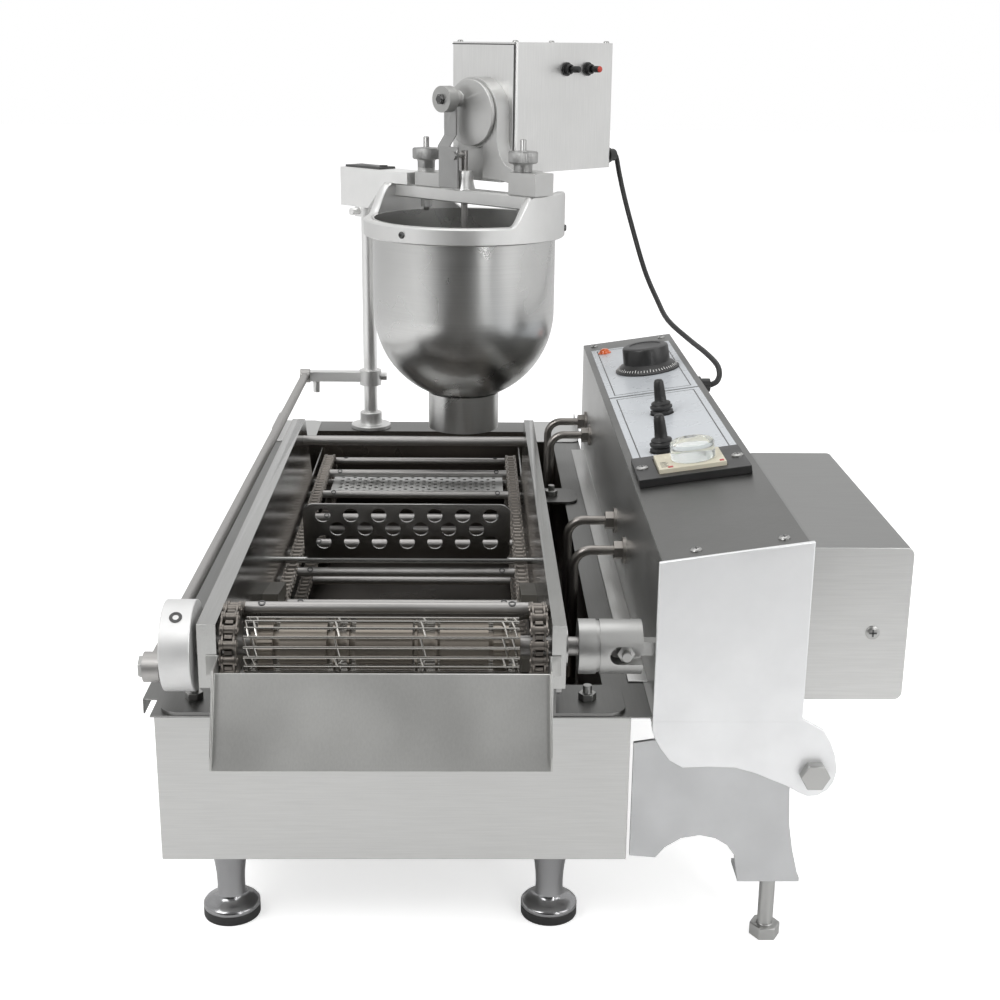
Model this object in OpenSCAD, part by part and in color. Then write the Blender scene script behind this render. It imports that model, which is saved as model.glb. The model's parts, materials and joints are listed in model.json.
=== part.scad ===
// Donut fryer: an oil tank with a chain-and-flight conveyor, a swinging batter depositor and a control box.
// Millimetres, +Z up, the conveyor runs along Y, the delivery chute faces -Y.

/* [Tank] */
// Width of the outer casing
casing_width = 408; // [390:1:430]
// Length of the outer casing
casing_length = 1040; // [1030:1:1080]
// Height of the outer casing, bottom to rim
casing_height = 139; // [130:1:150]
// Height of the levelling feet
foot_height = 86; // [75:1:100]
// Diameter of each foot pad
pad_diameter = 52; // [46:1:58]
// Thickness of the tank and casing sheet
sheet = 1.5; // [1.2:0.1:2]
// Width of the rim on each side of the oil
rim_width = 20; // [15:1:24]
// Depth of the oil pan below the rim
pan_depth = 115; // [112:1:118]

/* [Conveyor] */
// Inside width between the two side plates
conveyor_width = 280; // [260:1:290]
// Sideways offset of the conveyor from the middle of the tank
conveyor_offset = -6; // [-10:1:0]
// Thickness of the side plates
plate = 2; // [1.5:0.5:3]
// Height of the side plates' top edge over the rim
plate_rise = 87; // [84:1:95]
// Height of the drive shaft over the rim
shaft_rise = 59; // [57:1:62]
// Diameter of the drive shaft
shaft_diameter = 16; // [14:1:18]
// Diameter of the flight rods
flight_diameter = 10; // [8:1:10]
// Diameter of the crank disc
crank_diameter = 78; // [72:1:80]
// Throw of the crank pin
crank_throw = 20; // [15:1:24]
// Diameter of the shaft coupling
coupling_diameter = 47; // [42:1:50]

/* [Depositor] */
// Outside diameter of the hopper ring
hopper_diameter = 270; // [250:1:280]
// Height of the hopper rim over the tank rim
hopper_rise = 325; // [318:1:332]
// Outside diameter of the nozzle
nozzle_diameter = 97; // [90:1:104]
// Diameter of the post
post_diameter = 20; // [18:1:24]
// Distance from the post to the middle of the hopper
arm_reach = 195; // [190:1:205]
// Throw of the plunger crank
plunger_throw = 27; // [20:1:30]
// Diameter of the plunger rod
plunger_diameter = 9; // [8:1:12]

/* [Control box] */
// Width of the control box
box_width = 122; // [120:1:130]
// Length of the control box
box_length = 940; // [900:1:960]
// Height of the control box at its tall side
box_height = 178; // [170:1:186]
// Drop of the sloped top across its width
top_drop = 18; // [12:1:22]
// Width of the gearmotor cover
cover_width = 89; // [80:1:95]
// Length of the gearmotor cover
cover_length = 305; // [290:1:330]
// Diameter of the thermostat knob
knob_diameter = 60; // [50:1:64]
// Outside diameter of the hanging cord
cord_diameter = 7; // [6:0.5:8]

/* [Clearances] */
// Radial running clearance of turning and sliding fits
fit = 0.05; // [0.03:0.01:0.08]
// Open gap between pieces that move past each other
gap = 0.4; // [0.4:0.1:0.6]

/* [Hidden] */
$fn = 48;
chain_pitch = 12.7;
teeth = 16;
step = 360 / teeth;
ramp_links = 22;
flat_links = floor((casing_length - 430) / chain_pitch);
flight_step = 8;
i_flat = ramp_links + 1;
i_rear = i_flat + flat_links;
i_back = i_rear + teeth / 2;
i_bend = i_back + flat_links;
i_rise = i_bend + 3;
i_front = i_rise + ramp_links;
links = i_front + teeth / 2;
pitch_r = chain_pitch / (2 * sin(180 / teeth));
cx = casing_width / 2;
rim_z = foot_height + casing_height;
pan_x = cx - rim_width;
pan_y0 = 28;
pan_y1 = casing_length - 55;
pan_z = rim_z - pan_depth;
flange_l = -cx - 16;
flange_r = cx + 18;
pl = conveyor_offset - conveyor_width / 2;
pr = conveyor_offset + conveyor_width / 2;
plate_z = rim_z + plate_rise;
shaft_y = 12;
shaft_z = rim_z + shaft_rise;
shaft_r = shaft_diameter / 2;
bearing_w = 12;
chain_in = 11;
chain_l = pl + chain_in;
chain_r = pr - chain_in;
roller_r = 22;
belt_l = pl + 26;
belt_r = pr - 26;
rod_x = -205;
rod_w = 14;
disc_w = 26;
disc_x = rod_x + rod_w / 2 + 6;
pin_r = 6;
pin_z = shaft_z - crank_throw;
post_x = -82;
post_y = casing_length - 30;
post_r = post_diameter / 2;
post_turn = -45;
lever_z = rim_z + 77;
rod_rear_x = -178;
lever_len = post_x - rod_rear_x - rod_w / 2 - gap;
rod_rear_y = post_y;
rod_skew = atan2(rod_x - rod_rear_x, rod_rear_y - shaft_y);
hopper_z = rim_z + hopper_rise;
ring_h = 22;
ring_r = hopper_diameter / 2;
nozzle_r = nozzle_diameter / 2;
nozzle_z = rim_z + 37;
bowl_z = nozzle_z + 50;
bar_z = hopper_z + 38;
arm_z = hopper_z + 54;
dbox_z = hopper_z + 58;
dbox_h = 168;
dbox_x0 = arm_reach - 64;
dbox_x1 = arm_reach + 55;
dbox_y0 = 38;
dbox_y1 = 237;
crank_z = hopper_z + 136;
bolt_z = hopper_z + 82;
nut_x = [arm_reach - 80, arm_reach + 101];
nut_z = [hopper_z + 61, hopper_z + 66];
plunger_r = plunger_diameter / 2;
bx0 = cx + 22;
bx1 = bx0 + box_width;
box_z0 = rim_z - 23;
box_z1 = box_z0 + box_height;
box_zl = box_z1 - top_drop;
slope = atan(top_drop / box_width);
hang_x = bx0 + 138;
cover_x1 = bx1 + cover_width;
cover_z0 = rim_z + 13;
cover_z1 = rim_z + 151;
left_end = rod_x - rod_w / 2 - 4;
front_end = -76;
rear_end = post_y + (dbox_y1 - dbox_x0) * sin(45);
origin_x = (left_end + cover_x1) / 2;
origin_y = (front_end + rear_end) / 2;

rear_r = 7;
flip_y = 430;
flip_z = rim_z - 9;
flip_r = 3.5;
perf_y = casing_length - 276;
perf_z = rim_z - 31;
plate_end = casing_length - 336;
nose_y = 80;
nose_z = shaft_z - 22;
nose_r = 6;
wire_r = 1.2;
belt_r1 = roller_r + gap + wire_r;
belt_r2 = nose_r + 0.1 + wire_r;
belt_d = sqrt(pow(nose_y - shaft_y, 2) + pow(nose_z - shaft_z, 2));
belt_a = atan2(nose_z - shaft_z, nose_y - shaft_y);
belt_b = asin((belt_r1 - belt_r2) / belt_d);
belt_top = belt_a + 90 - belt_b;
belt_wrap = 180 + 2 * belt_b;
belt_rows = 26;
coup_x0 = pr + 23;
rod_rise = asin((lever_z - pin_z) / norm([rod_rear_x - rod_x, rod_rear_y - shaft_y, lever_z - pin_z]));
rod_len = norm([rod_rear_x - rod_x, rod_rear_y - shaft_y, lever_z - pin_z]);
dep_switch_y = [137, 180];
dep_switch_z = dbox_z + dbox_h - 34;
knob_x = bx0 + 68;
knob_y = 732;
sw_x = [bx0 + 58, bx0 + 40];
sw_y = [494, 338];
timer_x = bx0 + 58;
timer_y = 258;
gland_y = 674;
gland_z = box_z1 - 14;
heat_x = pan_x - 11;
heat_z = rim_z + 48;
crank_y = 14;
bracket_y = [-2, 620];
link_y = -4;
cord_sides = 8;
plug_x = dbox_x1 - 10;
plug_y = dbox_y1 + 16 + gap;
cord_start = [post_x + (plug_x + plug_y) * cos(45), post_y + (plug_y - plug_x) * cos(45), dbox_z + 16];
cord_end = [bx1 + 18, gland_y, gland_z];
cord_points = [cord_start, cord_start + [5, 5, -3], cord_start + [10, 6.5, -25], cord_start + [17, -3.5, -56],
  cord_start + [28, -19.5, -97], cord_start + [45, -54.5, -156], cord_start + [59, -99.5, -191],
  cord_start + [69, -149.5, -211], cord_end + [-9, 126, 33], cord_end + [3, 71, 28], cord_end + [12, 28, 21],
  cord_end + [13, 9, 12], cord_end + [8.5, 1.5, 4], cord_end];

module place() {
  translate([-origin_x, -origin_y, 0])
    children();
}

module box(x0, x1, y0, y1, z0, z1) {
  translate([x0, y0, z0])
    cube([x1 - x0, y1 - y0, z1 - z0]);
}

module xcyl(x0, x1, y, z, r) {
  translate([x0, y, z])
    rotate([0, 90, 0])
      cylinder(h = x1 - x0, r = r);
}

module ycyl(x, y0, y1, z, r) {
  translate([x, y1, z])
    rotate([90, 0, 0])
      cylinder(h = y1 - y0, r = r);
}

module zcyl(x, y, z0, z1, r) {
  translate([x, y, z0])
    cylinder(h = z1 - z0, r = r);
}

// extrude a profile drawn in X and Z along Y
module along_y(y0, y1) {
  translate([0, y1, 0])
    rotate([90, 0, 0])
      linear_extrude(y1 - y0)
        children();
}

// extrude a profile drawn in Y and Z along X
module along_x(x0, x1) {
  translate([x0, 0, 0])
    rotate([90, 0, 90])
      linear_extrude(x1 - x0)
        children();
}

// rounded rectangle with four true round corners
module round_rect(x0, x1, y0, y1, r) {
  translate([x0 + r, y0])
    square([x1 - x0 - 2 * r, y1 - y0]);
  translate([x0, y0 + r])
    square([x1 - x0, y1 - y0 - 2 * r]);
  for (x = [x0 + r, x1 - r])
    for (y = [y0 + r, y1 - r])
      translate([x, y])
        circle(r);
}

// place of cross wire i of the front belt: 0 to 10 on the roller, then back to the nose bar
function arc_at(y, z, r, a) = [y + r * cos(a), z + r * sin(a)];
function between(p, q, t) = [p[0] + (q[0] - p[0]) * t, p[1] + (q[1] - p[1]) * t];
function row_at(i) =
  i <= 10 ? arc_at(shaft_y, shaft_z, belt_r1, belt_top + belt_wrap * i / 10) :
  i <= 16 ? between(arc_at(shaft_y, shaft_z, belt_r1, belt_top + belt_wrap),
    arc_at(nose_y, nose_z, belt_r2, belt_top + belt_wrap), (i - 10) / 7) :
  i <= 19 ? arc_at(nose_y, nose_z, belt_r2, belt_top + belt_wrap + (360 - belt_wrap) * (i - 17) / 2) :
  between(arc_at(nose_y, nose_z, belt_r2, belt_top),
    arc_at(shaft_y, shaft_z, belt_r1, belt_top), (i - 19) / 7);
function row_next(i) = row_at((i + 1) % belt_rows);
function row_turn(i) = atan2(row_next(i)[1] - row_at(i)[1], row_next(i)[0] - row_at(i)[0]);
function row_gap(i) = norm([row_next(i)[0] - row_at(i)[0], row_next(i)[1] - row_at(i)[1]]);

// place of chain pin i in the loop: down the ramp, along the oil, round the back and home underneath
function ahead(p, n, a) = [p[0] + n * chain_pitch * cos(a), p[1] + n * chain_pitch * sin(a)];
function round_at(p, a) = [p[0] + pitch_r * sin(a), p[1] + pitch_r * cos(a)];
drive_c = [shaft_y, shaft_z];
flat_start = ahead(ahead(round_at(drive_c, step), ramp_links, -step), 1, -step / 2);
rear_c = [flat_start[0] + flat_links * chain_pitch, flat_start[1] - pitch_r];
rear_y = rear_c[0];
rear_z = rear_c[1];
back_start = round_at(rear_c, 180);
bend_start = ahead(back_start, flat_links, 180);
rise_start = ahead(bend_start, 3, 180 - step / 2);
function pin_at(i) =
  i <= ramp_links ? ahead(round_at(drive_c, step), i, -step) :
  i <= i_rear ? ahead(flat_start, i - i_flat, 0) :
  i <= i_back ? round_at(rear_c, (i - i_rear) * step) :
  i <= i_bend ? ahead(back_start, i - i_back, 180) :
  i <= i_rise ? ahead(bend_start, i - i_bend, 180 - step / 2) :
  i <= i_front ? ahead(rise_start, i - i_rise, 180 - step) :
  round_at(drive_c, 180 + step + (i - i_front) * step);

function link_turn(i) =
  atan2(pin_at(i + 1)[1] - pin_at(i)[1], pin_at(i + 1)[0] - pin_at(i)[0]);

module link_plate(x, w) {
  rotate([90, 0, 90])
    translate([0, 0, x])
      linear_extrude(w)
        polygon([[-5, 0], [-2.5, -4.8], [chain_pitch + 2.5, -4.8], [chain_pitch + 5, 0],
          [chain_pitch + 2.5, 4.8], [-2.5, 4.8]]);
}

module chain(x) {
  for (i = [0 : links - 1])
    translate([x, pin_at(i)[0], pin_at(i)[1]])
      rotate([link_turn(i), 0, 0]) {
        link_plate(i % 2 == 0 ? 4 : 5.7, 1.5);
        link_plate(i % 2 == 0 ? -5.5 : -7.2, 1.5);
        translate([-3.9, 0, 0])
          rotate([0, 90, 0])
            cylinder(h = 7.8, r = 4.2, $fn = 8);
      }
}

module chains() {
  color([0.55, 0.54, 0.52]) {
    chain(chain_l);
    chain(chain_r);
  }
}

module casing() {
  color([0.62, 0.63, 0.64])
    difference() {
      box(-cx, cx, 0, casing_length, foot_height, rim_z - sheet);
      box(-cx + sheet, cx - sheet, sheet, casing_length - sheet, foot_height + sheet, rim_z);
    }
}

module oil_tank() {
  color([0.6, 0.6, 0.6])
    difference() {
      union() {
        box(-cx - 3, flange_r, -3, casing_length + 3, rim_z - sheet, rim_z);
        box(flange_l, 0, 32, casing_length + 3, rim_z - sheet, rim_z);
        box(flange_l, flange_l + sheet, 32, casing_length + 3, rim_z - 14, rim_z);
        box(-pan_x - sheet, pan_x + sheet, pan_y0 - sheet, pan_y1 + sheet, pan_z - sheet, rim_z);
      }
      box(-pan_x, pan_x, pan_y0, pan_y1, pan_z, rim_z + 1);
    }
}

module at_feet() {
  for (x = [-154, 140])
    for (y = [55, casing_length - 55])
      translate([x, y, 0])
        children();
}

module feet() {
  color([0.6, 0.6, 0.61])
    at_feet() {
      zcyl(0, 0, 9, 13, pad_diameter / 2);
      translate([0, 0, 13])
        cylinder(h = 6, r1 = pad_diameter / 2, r2 = 20);
      translate([0, 0, 19])
        cylinder(h = 5, r1 = 20, r2 = 13);
      zcyl(0, 0, 24, 52, 12.6);
      translate([0, 0, 52])
        cylinder(h = foot_height - 52, r1 = 12.6, r2 = 17);
    }
}

module foot_pads() {
  color([0.08, 0.08, 0.08])
    at_feet()
      zcyl(0, 0, 0, 9, pad_diameter / 2);
}

module rear_corner_plates() {
  color([0.66, 0.67, 0.68])
    for (s = [0, 1]) {
      x0 = s == 0 ? flange_l : pr + 12;
      x1 = s == 0 ? pl - 12 : flange_r;
      lip = s == 0 ? flange_l : flange_r - sheet;
      translate([0, 0, rim_z])
        linear_extrude(sheet)
          round_rect(x0, x1, pan_y1 - 62, casing_length + 3, 12);
      box(lip, lip + sheet, pan_y1 - 50, casing_length - 9, rim_z, rim_z + 17);
    }
}

module side_profile() {
  polygon([[-12, rim_z + 8], [-12, plate_z], [plate_end, plate_z], [plate_end + 71, rim_z - 10],
    [casing_length - 110, rim_z - 10], [casing_length - 75, rim_z - 40], [casing_length - 75, rim_z - 96],
    [45, rim_z - 96], [45, rim_z + 8]]);
}

module side_plate(x0, out) {
  f0 = out < 0 ? x0 - 14 : x0;
  f1 = out < 0 ? x0 + plate : x0 + plate + 10;
  difference() {
    union() {
      along_x(x0, x0 + plate)
        side_profile();
      box(f0, f1, -12, plate_end, plate_z - plate, plate_z);
      box(f0, f1, -12, -12 + plate, rim_z + 30, plate_z);
    }
    xcyl(x0 - 1, x0 + plate + 1, shaft_y, shaft_z, shaft_r + 1);
    xcyl(x0 - 1, x0 + plate + 1, rear_y, rear_z, rear_r + fit);
    xcyl(x0 - 1, x0 + plate + 1, flip_y, flip_z, flip_r + fit);
  }
}

module side_plates() {
  color([0.68, 0.69, 0.7]) {
    side_plate(pl - plate, -1);
    side_plate(pr, 1);
  }
}

module bracket(s, y0) {
  face = s < 0 ? pl - plate : pr + plate;
  far = s < 0 ? -cx + 4 : cx - 4;
  difference() {
    union() {
      translate([0, 0, rim_z])
        linear_extrude(3) {
          round_rect(min(face, far), max(face, far), y0, y0 + 60, 16);
          translate([s < 0 ? face - 20 : face, y0])
            square([20, 60]);
        }
      box(s < 0 ? face - 3 : face, s < 0 ? face : face + 3, y0, y0 + 60, rim_z, rim_z + 34);
    }
    for (y = [y0 + 14, y0 + 46])
      xcyl(face - 4, face + 4, y, rim_z + 22, 3);
    zcyl((face + far) / 2, y0 + 30, rim_z - 1, rim_z + 4, 4);
  }
}

module foot_brackets() {
  color([0.64, 0.65, 0.66])
    for (y = bracket_y) {
      bracket(-1, y);
      bracket(1, y);
    }
}

module hex_x(x0, x1, y, z, r) {
  translate([x0, y, z])
    rotate([0, 90, 0])
      cylinder(h = x1 - x0, r = r, $fn = 6);
}

module frame_bolts() {
  color([0.5, 0.5, 0.51])
    for (y0 = bracket_y) {
      for (y = [y0 + 14, y0 + 46]) {
        hex_x(pl - plate - 8, pl - plate - 3, y, rim_z + 22, 7);
        xcyl(pl - plate - 4, pl - plate, y, rim_z + 22, 3);
        hex_x(pr + plate + 3, pr + plate + 8, y, rim_z + 22, 7);
        xcyl(pr + plate, pr + plate + 4, y, rim_z + 22, 3);
      }
      for (x = [(pl - plate - cx + 4) / 2, (pr + plate + cx - 4) / 2]) {
        translate([x, y0 + 30, rim_z + 3])
          cylinder(h = 6, r = 8, $fn = 6);
        zcyl(x, y0 + 30, rim_z, rim_z + 16, 4);
      }
    }
}

module tie_rods() {
  color([0.7, 0.7, 0.71]) {
    xcyl(pl, pr, casing_length - 360, plate_z - 22, 6);
    xcyl(pl, pr, nose_y, nose_z, nose_r - 2);
    for (y = [perf_y + 11, perf_y + 71])
      xcyl(pl, pr, y, perf_z - 4, 4);
  }
}

module sprocket_at(x) {
  difference() {
    translate([x - 3.2, 0, 0])
      rotate([0, 90, 0])
        cylinder(h = 6.4, r = pitch_r + 2.2);
    for (i = [0 : teeth - 1])
      rotate([i * step, 0, 0])
        translate([x - 4, 0, pitch_r])
          rotate([0, 90, 0]) {
            cylinder(h = 8, r = 4.55, $fn = 24);
            translate([-2.4, 0, 0])
              cylinder(h = 8, r = 5.2, $fn = 24);
          }
  }
}

module drive_sprockets() {
  color([0.45, 0.44, 0.42])
    translate([0, shaft_y, shaft_z])
      difference() {
        union() {
          sprocket_at(chain_l);
          sprocket_at(chain_r);
        }
        xcyl(pl, pr, 0, 0, shaft_r);
      }
}

module rear_shaft() {
  color([0.5, 0.5, 0.5])
    translate([0, rear_y, rear_z]) {
      xcyl(pl - plate - 4, pr + plate + 4, 0, 0, rear_r);
      sprocket_at(chain_l);
      sprocket_at(chain_r);
    }
}

module flights() {
  color([0.72, 0.72, 0.73])
    for (i = [1 : flight_step : links - 1])
      xcyl(chain_l + 7.5, chain_r - 7.5, pin_at(i)[0], pin_at(i)[1], flight_diameter / 2);
}

// shoes on the side plates that hold both runs down where they bend
module chain_guides() {
  up = [sin(step), cos(step)];
  color([0.82, 0.82, 0.8])
    for (x = [[pl, chain_l + 5], [chain_r - 5, pr]])
      along_x(x[0], x[1]) {
        polygon([pin_at(i_flat - 3) + 7 * up, flat_start + [-5, 7], flat_start + [38, 7],
          flat_start + [38, 20], pin_at(i_flat - 3) + 20 * up]);
        polygon([bend_start + [35, 7], bend_start + [2, 7], rise_start + [2, 7], pin_at(i_rise + 3) + 7 * up,
          pin_at(i_rise + 3) + 20 * up, bend_start + [35, 20]]);
      }
}

module shaft_bearings() {
  color([0.4, 0.4, 0.42])
    for (x = [pl - plate - bearing_w, pr + plate])
      difference() {
        union() {
          xcyl(x, x + bearing_w, shaft_y, shaft_z, 17);
          box(x == pr + plate ? x : x + bearing_w - 4, x == pr + plate ? x + 4 : x + bearing_w,
            shaft_y - 17, shaft_y + 17, shaft_z - 20, shaft_z + 20);
        }
        xcyl(x - 1, x + bearing_w + 1, shaft_y, shaft_z, shaft_r + fit);
      }
}

module drive_shaft() {
  color([0.6, 0.6, 0.61])
    xcyl(disc_x, coup_x0 + 24, shaft_y, shaft_z, shaft_r);
}

module belt_roller() {
  color([0.45, 0.36, 0.26])
    difference() {
      union() {
        xcyl(belt_l, belt_r, shaft_y, shaft_z, 12);
        for (x = [[25, 65], [89, 137], [160, 201]])
          xcyl(belt_l + x[0], belt_l + x[1], shaft_y, shaft_z, roller_r - 2);
        for (x = [70, 82, 139, 156])
          xcyl(belt_l + x, belt_l + x + 2, shaft_y, shaft_z, roller_r);
        for (x = [7, 205])
          xcyl(belt_l + x, belt_l + x + 13, shaft_y, shaft_z, roller_r);
      }
      xcyl(belt_l - 1, belt_r + 1, shaft_y, shaft_z, shaft_r);
      for (k = [0 : 9])
        translate([0, shaft_y, shaft_z])
          rotate([k * 36, 0, 0])
            for (x = [6, 204])
              xcyl(belt_l + x, belt_l + x + 15, 0, roller_r + 1, 4);
    }
}

module wire_belt() {
  color([0.74, 0.74, 0.72])
    for (i = [0 : belt_rows - 1]) {
      translate([belt_l - 4, row_at(i)[0], row_at(i)[1]])
        rotate([row_turn(i), 0, 0])
          translate([0, -wire_r, -wire_r])
            cube([belt_r - belt_l + 3, 2 * wire_r, 2 * wire_r]);
      for (x = [-2, 5, 74, 146, 215, 223])
        translate([belt_l + x + 2 * (i % 2) - 1.8, row_at(i)[0], row_at(i)[1]])
          rotate([row_turn(i), 0, 0])
            translate([0, 0, -0.8])
              cube([1.6, row_gap(i), 1.6]);
    }
}

module crank_disc() {
  color([0.5, 0.5, 0.51])
    difference() {
      xcyl(disc_x, disc_x + disc_w, shaft_y, shaft_z, crank_diameter / 2);
      xcyl(disc_x - 1, disc_x + disc_w + 1, shaft_y, shaft_z, shaft_r);
      xcyl(disc_x - 1, disc_x + 12, shaft_y, pin_z, pin_r);
    }
}

module crank_pin() {
  color([0.62, 0.62, 0.63]) {
    xcyl(rod_x - rod_w / 2 - gap, disc_x + 12, shaft_y, pin_z, pin_r);
    hex_x(left_end, rod_x - rod_w / 2 - gap, shaft_y, pin_z, 10);
  }
}

module link_rod() {
  color([0.66, 0.66, 0.67])
    difference() {
      union() {
        xcyl(rod_x - rod_w / 2, rod_x + rod_w / 2, shaft_y, pin_z, 13);
        translate([rod_x, shaft_y, pin_z])
          rotate([rod_rise, 0, rod_skew])
            ycyl(0, 9, rod_len - 6, 0, 6);
        xcyl(rod_rear_x - rod_w / 2, rod_rear_x + rod_w / 2, rod_rear_y, lever_z, 10);
      }
      xcyl(rod_x - rod_w, rod_x + rod_w, shaft_y, pin_z, pin_r + fit);
    }
}

module coupling() {
  color([0.48, 0.48, 0.5]) {
    difference() {
      union() {
        xcyl(coup_x0, coup_x0 + 15, shaft_y, shaft_z, coupling_diameter / 2);
        xcyl(coup_x0 + 15, coup_x0 + 18, shaft_y, shaft_z, coupling_diameter / 2 - 1.5);
        xcyl(coup_x0 + 18, coup_x0 + 54, shaft_y, shaft_z, coupling_diameter / 2);
        box(coup_x0 + 30, bx0 + 40, shaft_y - 6, shaft_y + 6, shaft_z - 6, shaft_z + 6);
      }
      xcyl(coup_x0 - 1, coup_x0 + 24, shaft_y, shaft_z, shaft_r);
      box(coup_x0 + 34, coup_x0 + 55, shaft_y - 30, shaft_y - 6, shaft_z - 8, shaft_z + 8);
      translate([coup_x0 + 34, shaft_y - 6, shaft_z])
        rotate([90, 0, 0])
          cylinder(h = 30, r = 8);
    }
    translate([coup_x0 + 40, shaft_y - 5, shaft_z])
      rotate([90, 0, 0]) {
        cylinder(h = 13, r = 7.5, $fn = 6);
        cylinder(h = 21, r = 4);
      }
  }
}

module chute() {
  color([0.7, 0.71, 0.72]) {
    along_x(pl + 2.5, pr - 2.5)
      polygon([[-40, rim_z + 56], [-40 - sheet, rim_z + 56], [-76, rim_z - 15], [-76 + sheet, rim_z - 15]]);
    for (x = [pl + 2.5 - sheet, pr - 2.5])
      along_x(x, x + sheet)
        polygon([[-40, rim_z + 60], [-46, rim_z + 60], [-76, rim_z - 3], [-76, rim_z - 15],
          [-68, rim_z - 15], [-40, rim_z + 42], [-12, rim_z + 42], [-12, rim_z + 60]]);
    box(pl - 9, pl + 2.5, -12 - sheet, -12, rim_z + 42, rim_z + 60);
    box(pr - 2.5, pr + 8, -12 - sheet, -12, rim_z + 42, rim_z + 60);
  }
}

module flipper_plate() {
  color([0.5, 0.5, 0.5])
    translate([0, flip_y, flip_z])
      rotate([11.5, 0, 0]) {
        xcyl(pl - plate - 3, pr + plate + 3, 0, 0, flip_r);
        difference() {
          along_y(-1, 1)
            round_rect(chain_l + 15, chain_r - 13, 0, 72, 12);
          for (r = [0 : 2])
            for (k = [0 : 6 - r % 2])
              ycyl((chain_l + chain_r) / 2 + 1 + (k - 3 + (r % 2) / 2) * 31, -3, 3, 58 - r * 17, 8.5);
        }
      }
}

// flat plate of small holes under the top run and the hanging plate of the second flight
module paddles() {
  color([0.55, 0.55, 0.55]) {
    translate([0, perf_y, perf_z])
      difference() {
        box(chain_l + 13, chain_r - 13, 0, 82, 0, 2);
        for (r = [0 : 8])
          for (k = [0 : 13 - r % 2])
            zcyl((chain_l + chain_r) / 2 + (k - 6.5 + (r % 2) / 2) * 16, 9 + r * 8, -1, 3, 2.6);
      }
    translate([0, pin_at(i_flat + 2)[0], pin_at(i_flat + 2)[1]])
      difference() {
        box(chain_l + 13, chain_r - 13, -1, 1, -52, -5.4);
        for (r = [0, 1])
          for (k = [0 : 6 - r])
            ycyl((chain_l + chain_r) / 2 + (k - 3 + r / 2) * 31, -3, 3, -20 - r * 18, 8.5);
      }
  }
}

// depositor frame: the post at its origin, the hopper along its X
module dep() {
  translate([post_x, post_y, 0])
    rotate([0, 0, post_turn])
      children();
}

module post_base() {
  color([0.55, 0.55, 0.56])
    difference() {
      union() {
        zcyl(post_x, post_y, rim_z, rim_z + 6, 29);
        zcyl(post_x, post_y, rim_z, rim_z + 24, post_r + 6);
      }
      zcyl(post_x, post_y, rim_z - 1, rim_z + 40, post_r + fit);
    }
}

module post() {
  color([0.7, 0.7, 0.71])
    zcyl(post_x, post_y, rim_z + gap, arm_z - 2, post_r);
}

module lever() {
  color([0.58, 0.58, 0.59])
    translate([post_x, post_y, lever_z])
      difference() {
        union() {
          zcyl(0, 0, -12, 10, post_r + 6);
          box(-lever_len, 0, -8, 8, -7, 7);
          zcyl(-lever_len + 9, 0, -24, -7, 5);
          xcyl(0, post_r + 14, 0, 0, 6);
        }
        zcyl(0, 0, -13, 11, post_r);
      }
}

module arm() {
  color([0.6, 0.6, 0.61])
    dep()
      difference() {
        union() {
          zcyl(0, 0, hopper_z - 14, hopper_z + 3, post_r + 9);
          along_y(-20, 20)
            polygon([[-36, hopper_z], [-36, arm_z], [nut_x[0] - 11, arm_z], [nut_x[0] - 11, bar_z],
              [arm_reach - ring_r - 2, bar_z], [arm_reach - ring_r - 38, hopper_z]]);
          box(-30, 42, -15, 15, arm_z, arm_z + 3);
          box(30, 38, -4, 4, arm_z + 3, arm_z + 5);
          ycyl(0, -post_r - 22, 0, hopper_z - 6, 5);
        }
        zcyl(0, 0, hopper_z - 40, arm_z - 2, post_r);
      }
}

module hopper_ring() {
  rise = bar_z - hopper_z;
  color([0.62, 0.62, 0.63])
    dep()
      difference() {
        union() {
          difference() {
            intersection() {
              zcyl(arm_reach, 0, hopper_z - ring_h, bar_z, ring_r);
              along_y(-ring_r - 1, ring_r + 1)
                translate([arm_reach, hopper_z])
                  polygon([[-ring_r - 1, -ring_h - 1], [-ring_r - 1, rise], [-ring_r + 14, rise],
                    [-ring_r + 50, 0], [ring_r - 50, 0], [ring_r - 14, rise], [ring_r + 1, rise],
                    [ring_r + 1, -ring_h - 1]]);
            }
            zcyl(arm_reach, 0, hopper_z - ring_h - 1, bar_z + 1, ring_r - 12);
          }
          box(arm_reach - ring_r + 4, arm_reach + ring_r - 4, -13, 13, bar_z - 18, bar_z);
          zcyl(arm_reach, 0, bar_z - 18, bar_z + 24, 11);
          translate([arm_reach, 0, bar_z])
            cylinder(h = 14, r1 = 13, r2 = 11);
        }
        zcyl(arm_reach, 0, bar_z - 20, bar_z + 31, plunger_r + fit);
        for (x = nut_x)
          zcyl(x, 6, bar_z - 20, bar_z + 1, 4.5);
      }
}

module hopper_bowl() {
  r = ring_r - 12.3;
  h = hopper_z - bowl_z;
  z = r * 0.93;
  color([0.76, 0.76, 0.77])
    dep()
      translate([arm_reach, 0, bowl_z])
        difference() {
          union() {
            zcyl(0, 0, z, h, r, $fn = 96);
            intersection() {
              translate([0, 0, z])
                sphere(r, $fn = 96);
              zcyl(0, 0, 0, z, r + 5);
            }
          }
          zcyl(0, 0, z, h + 3, r - 2, $fn = 96);
          translate([0, 0, z])
            sphere(r - 2, $fn = 96);
          zcyl(0, 0, -1, 40, nozzle_r - 8);
        }
}

module nozzle() {
  color([0.7, 0.7, 0.71])
    dep()
      difference() {
        zcyl(arm_reach, 0, nozzle_z, bowl_z, nozzle_r);
        zcyl(arm_reach, 0, nozzle_z - 1, bowl_z + 1, nozzle_r - 8);
      }
}

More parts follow.
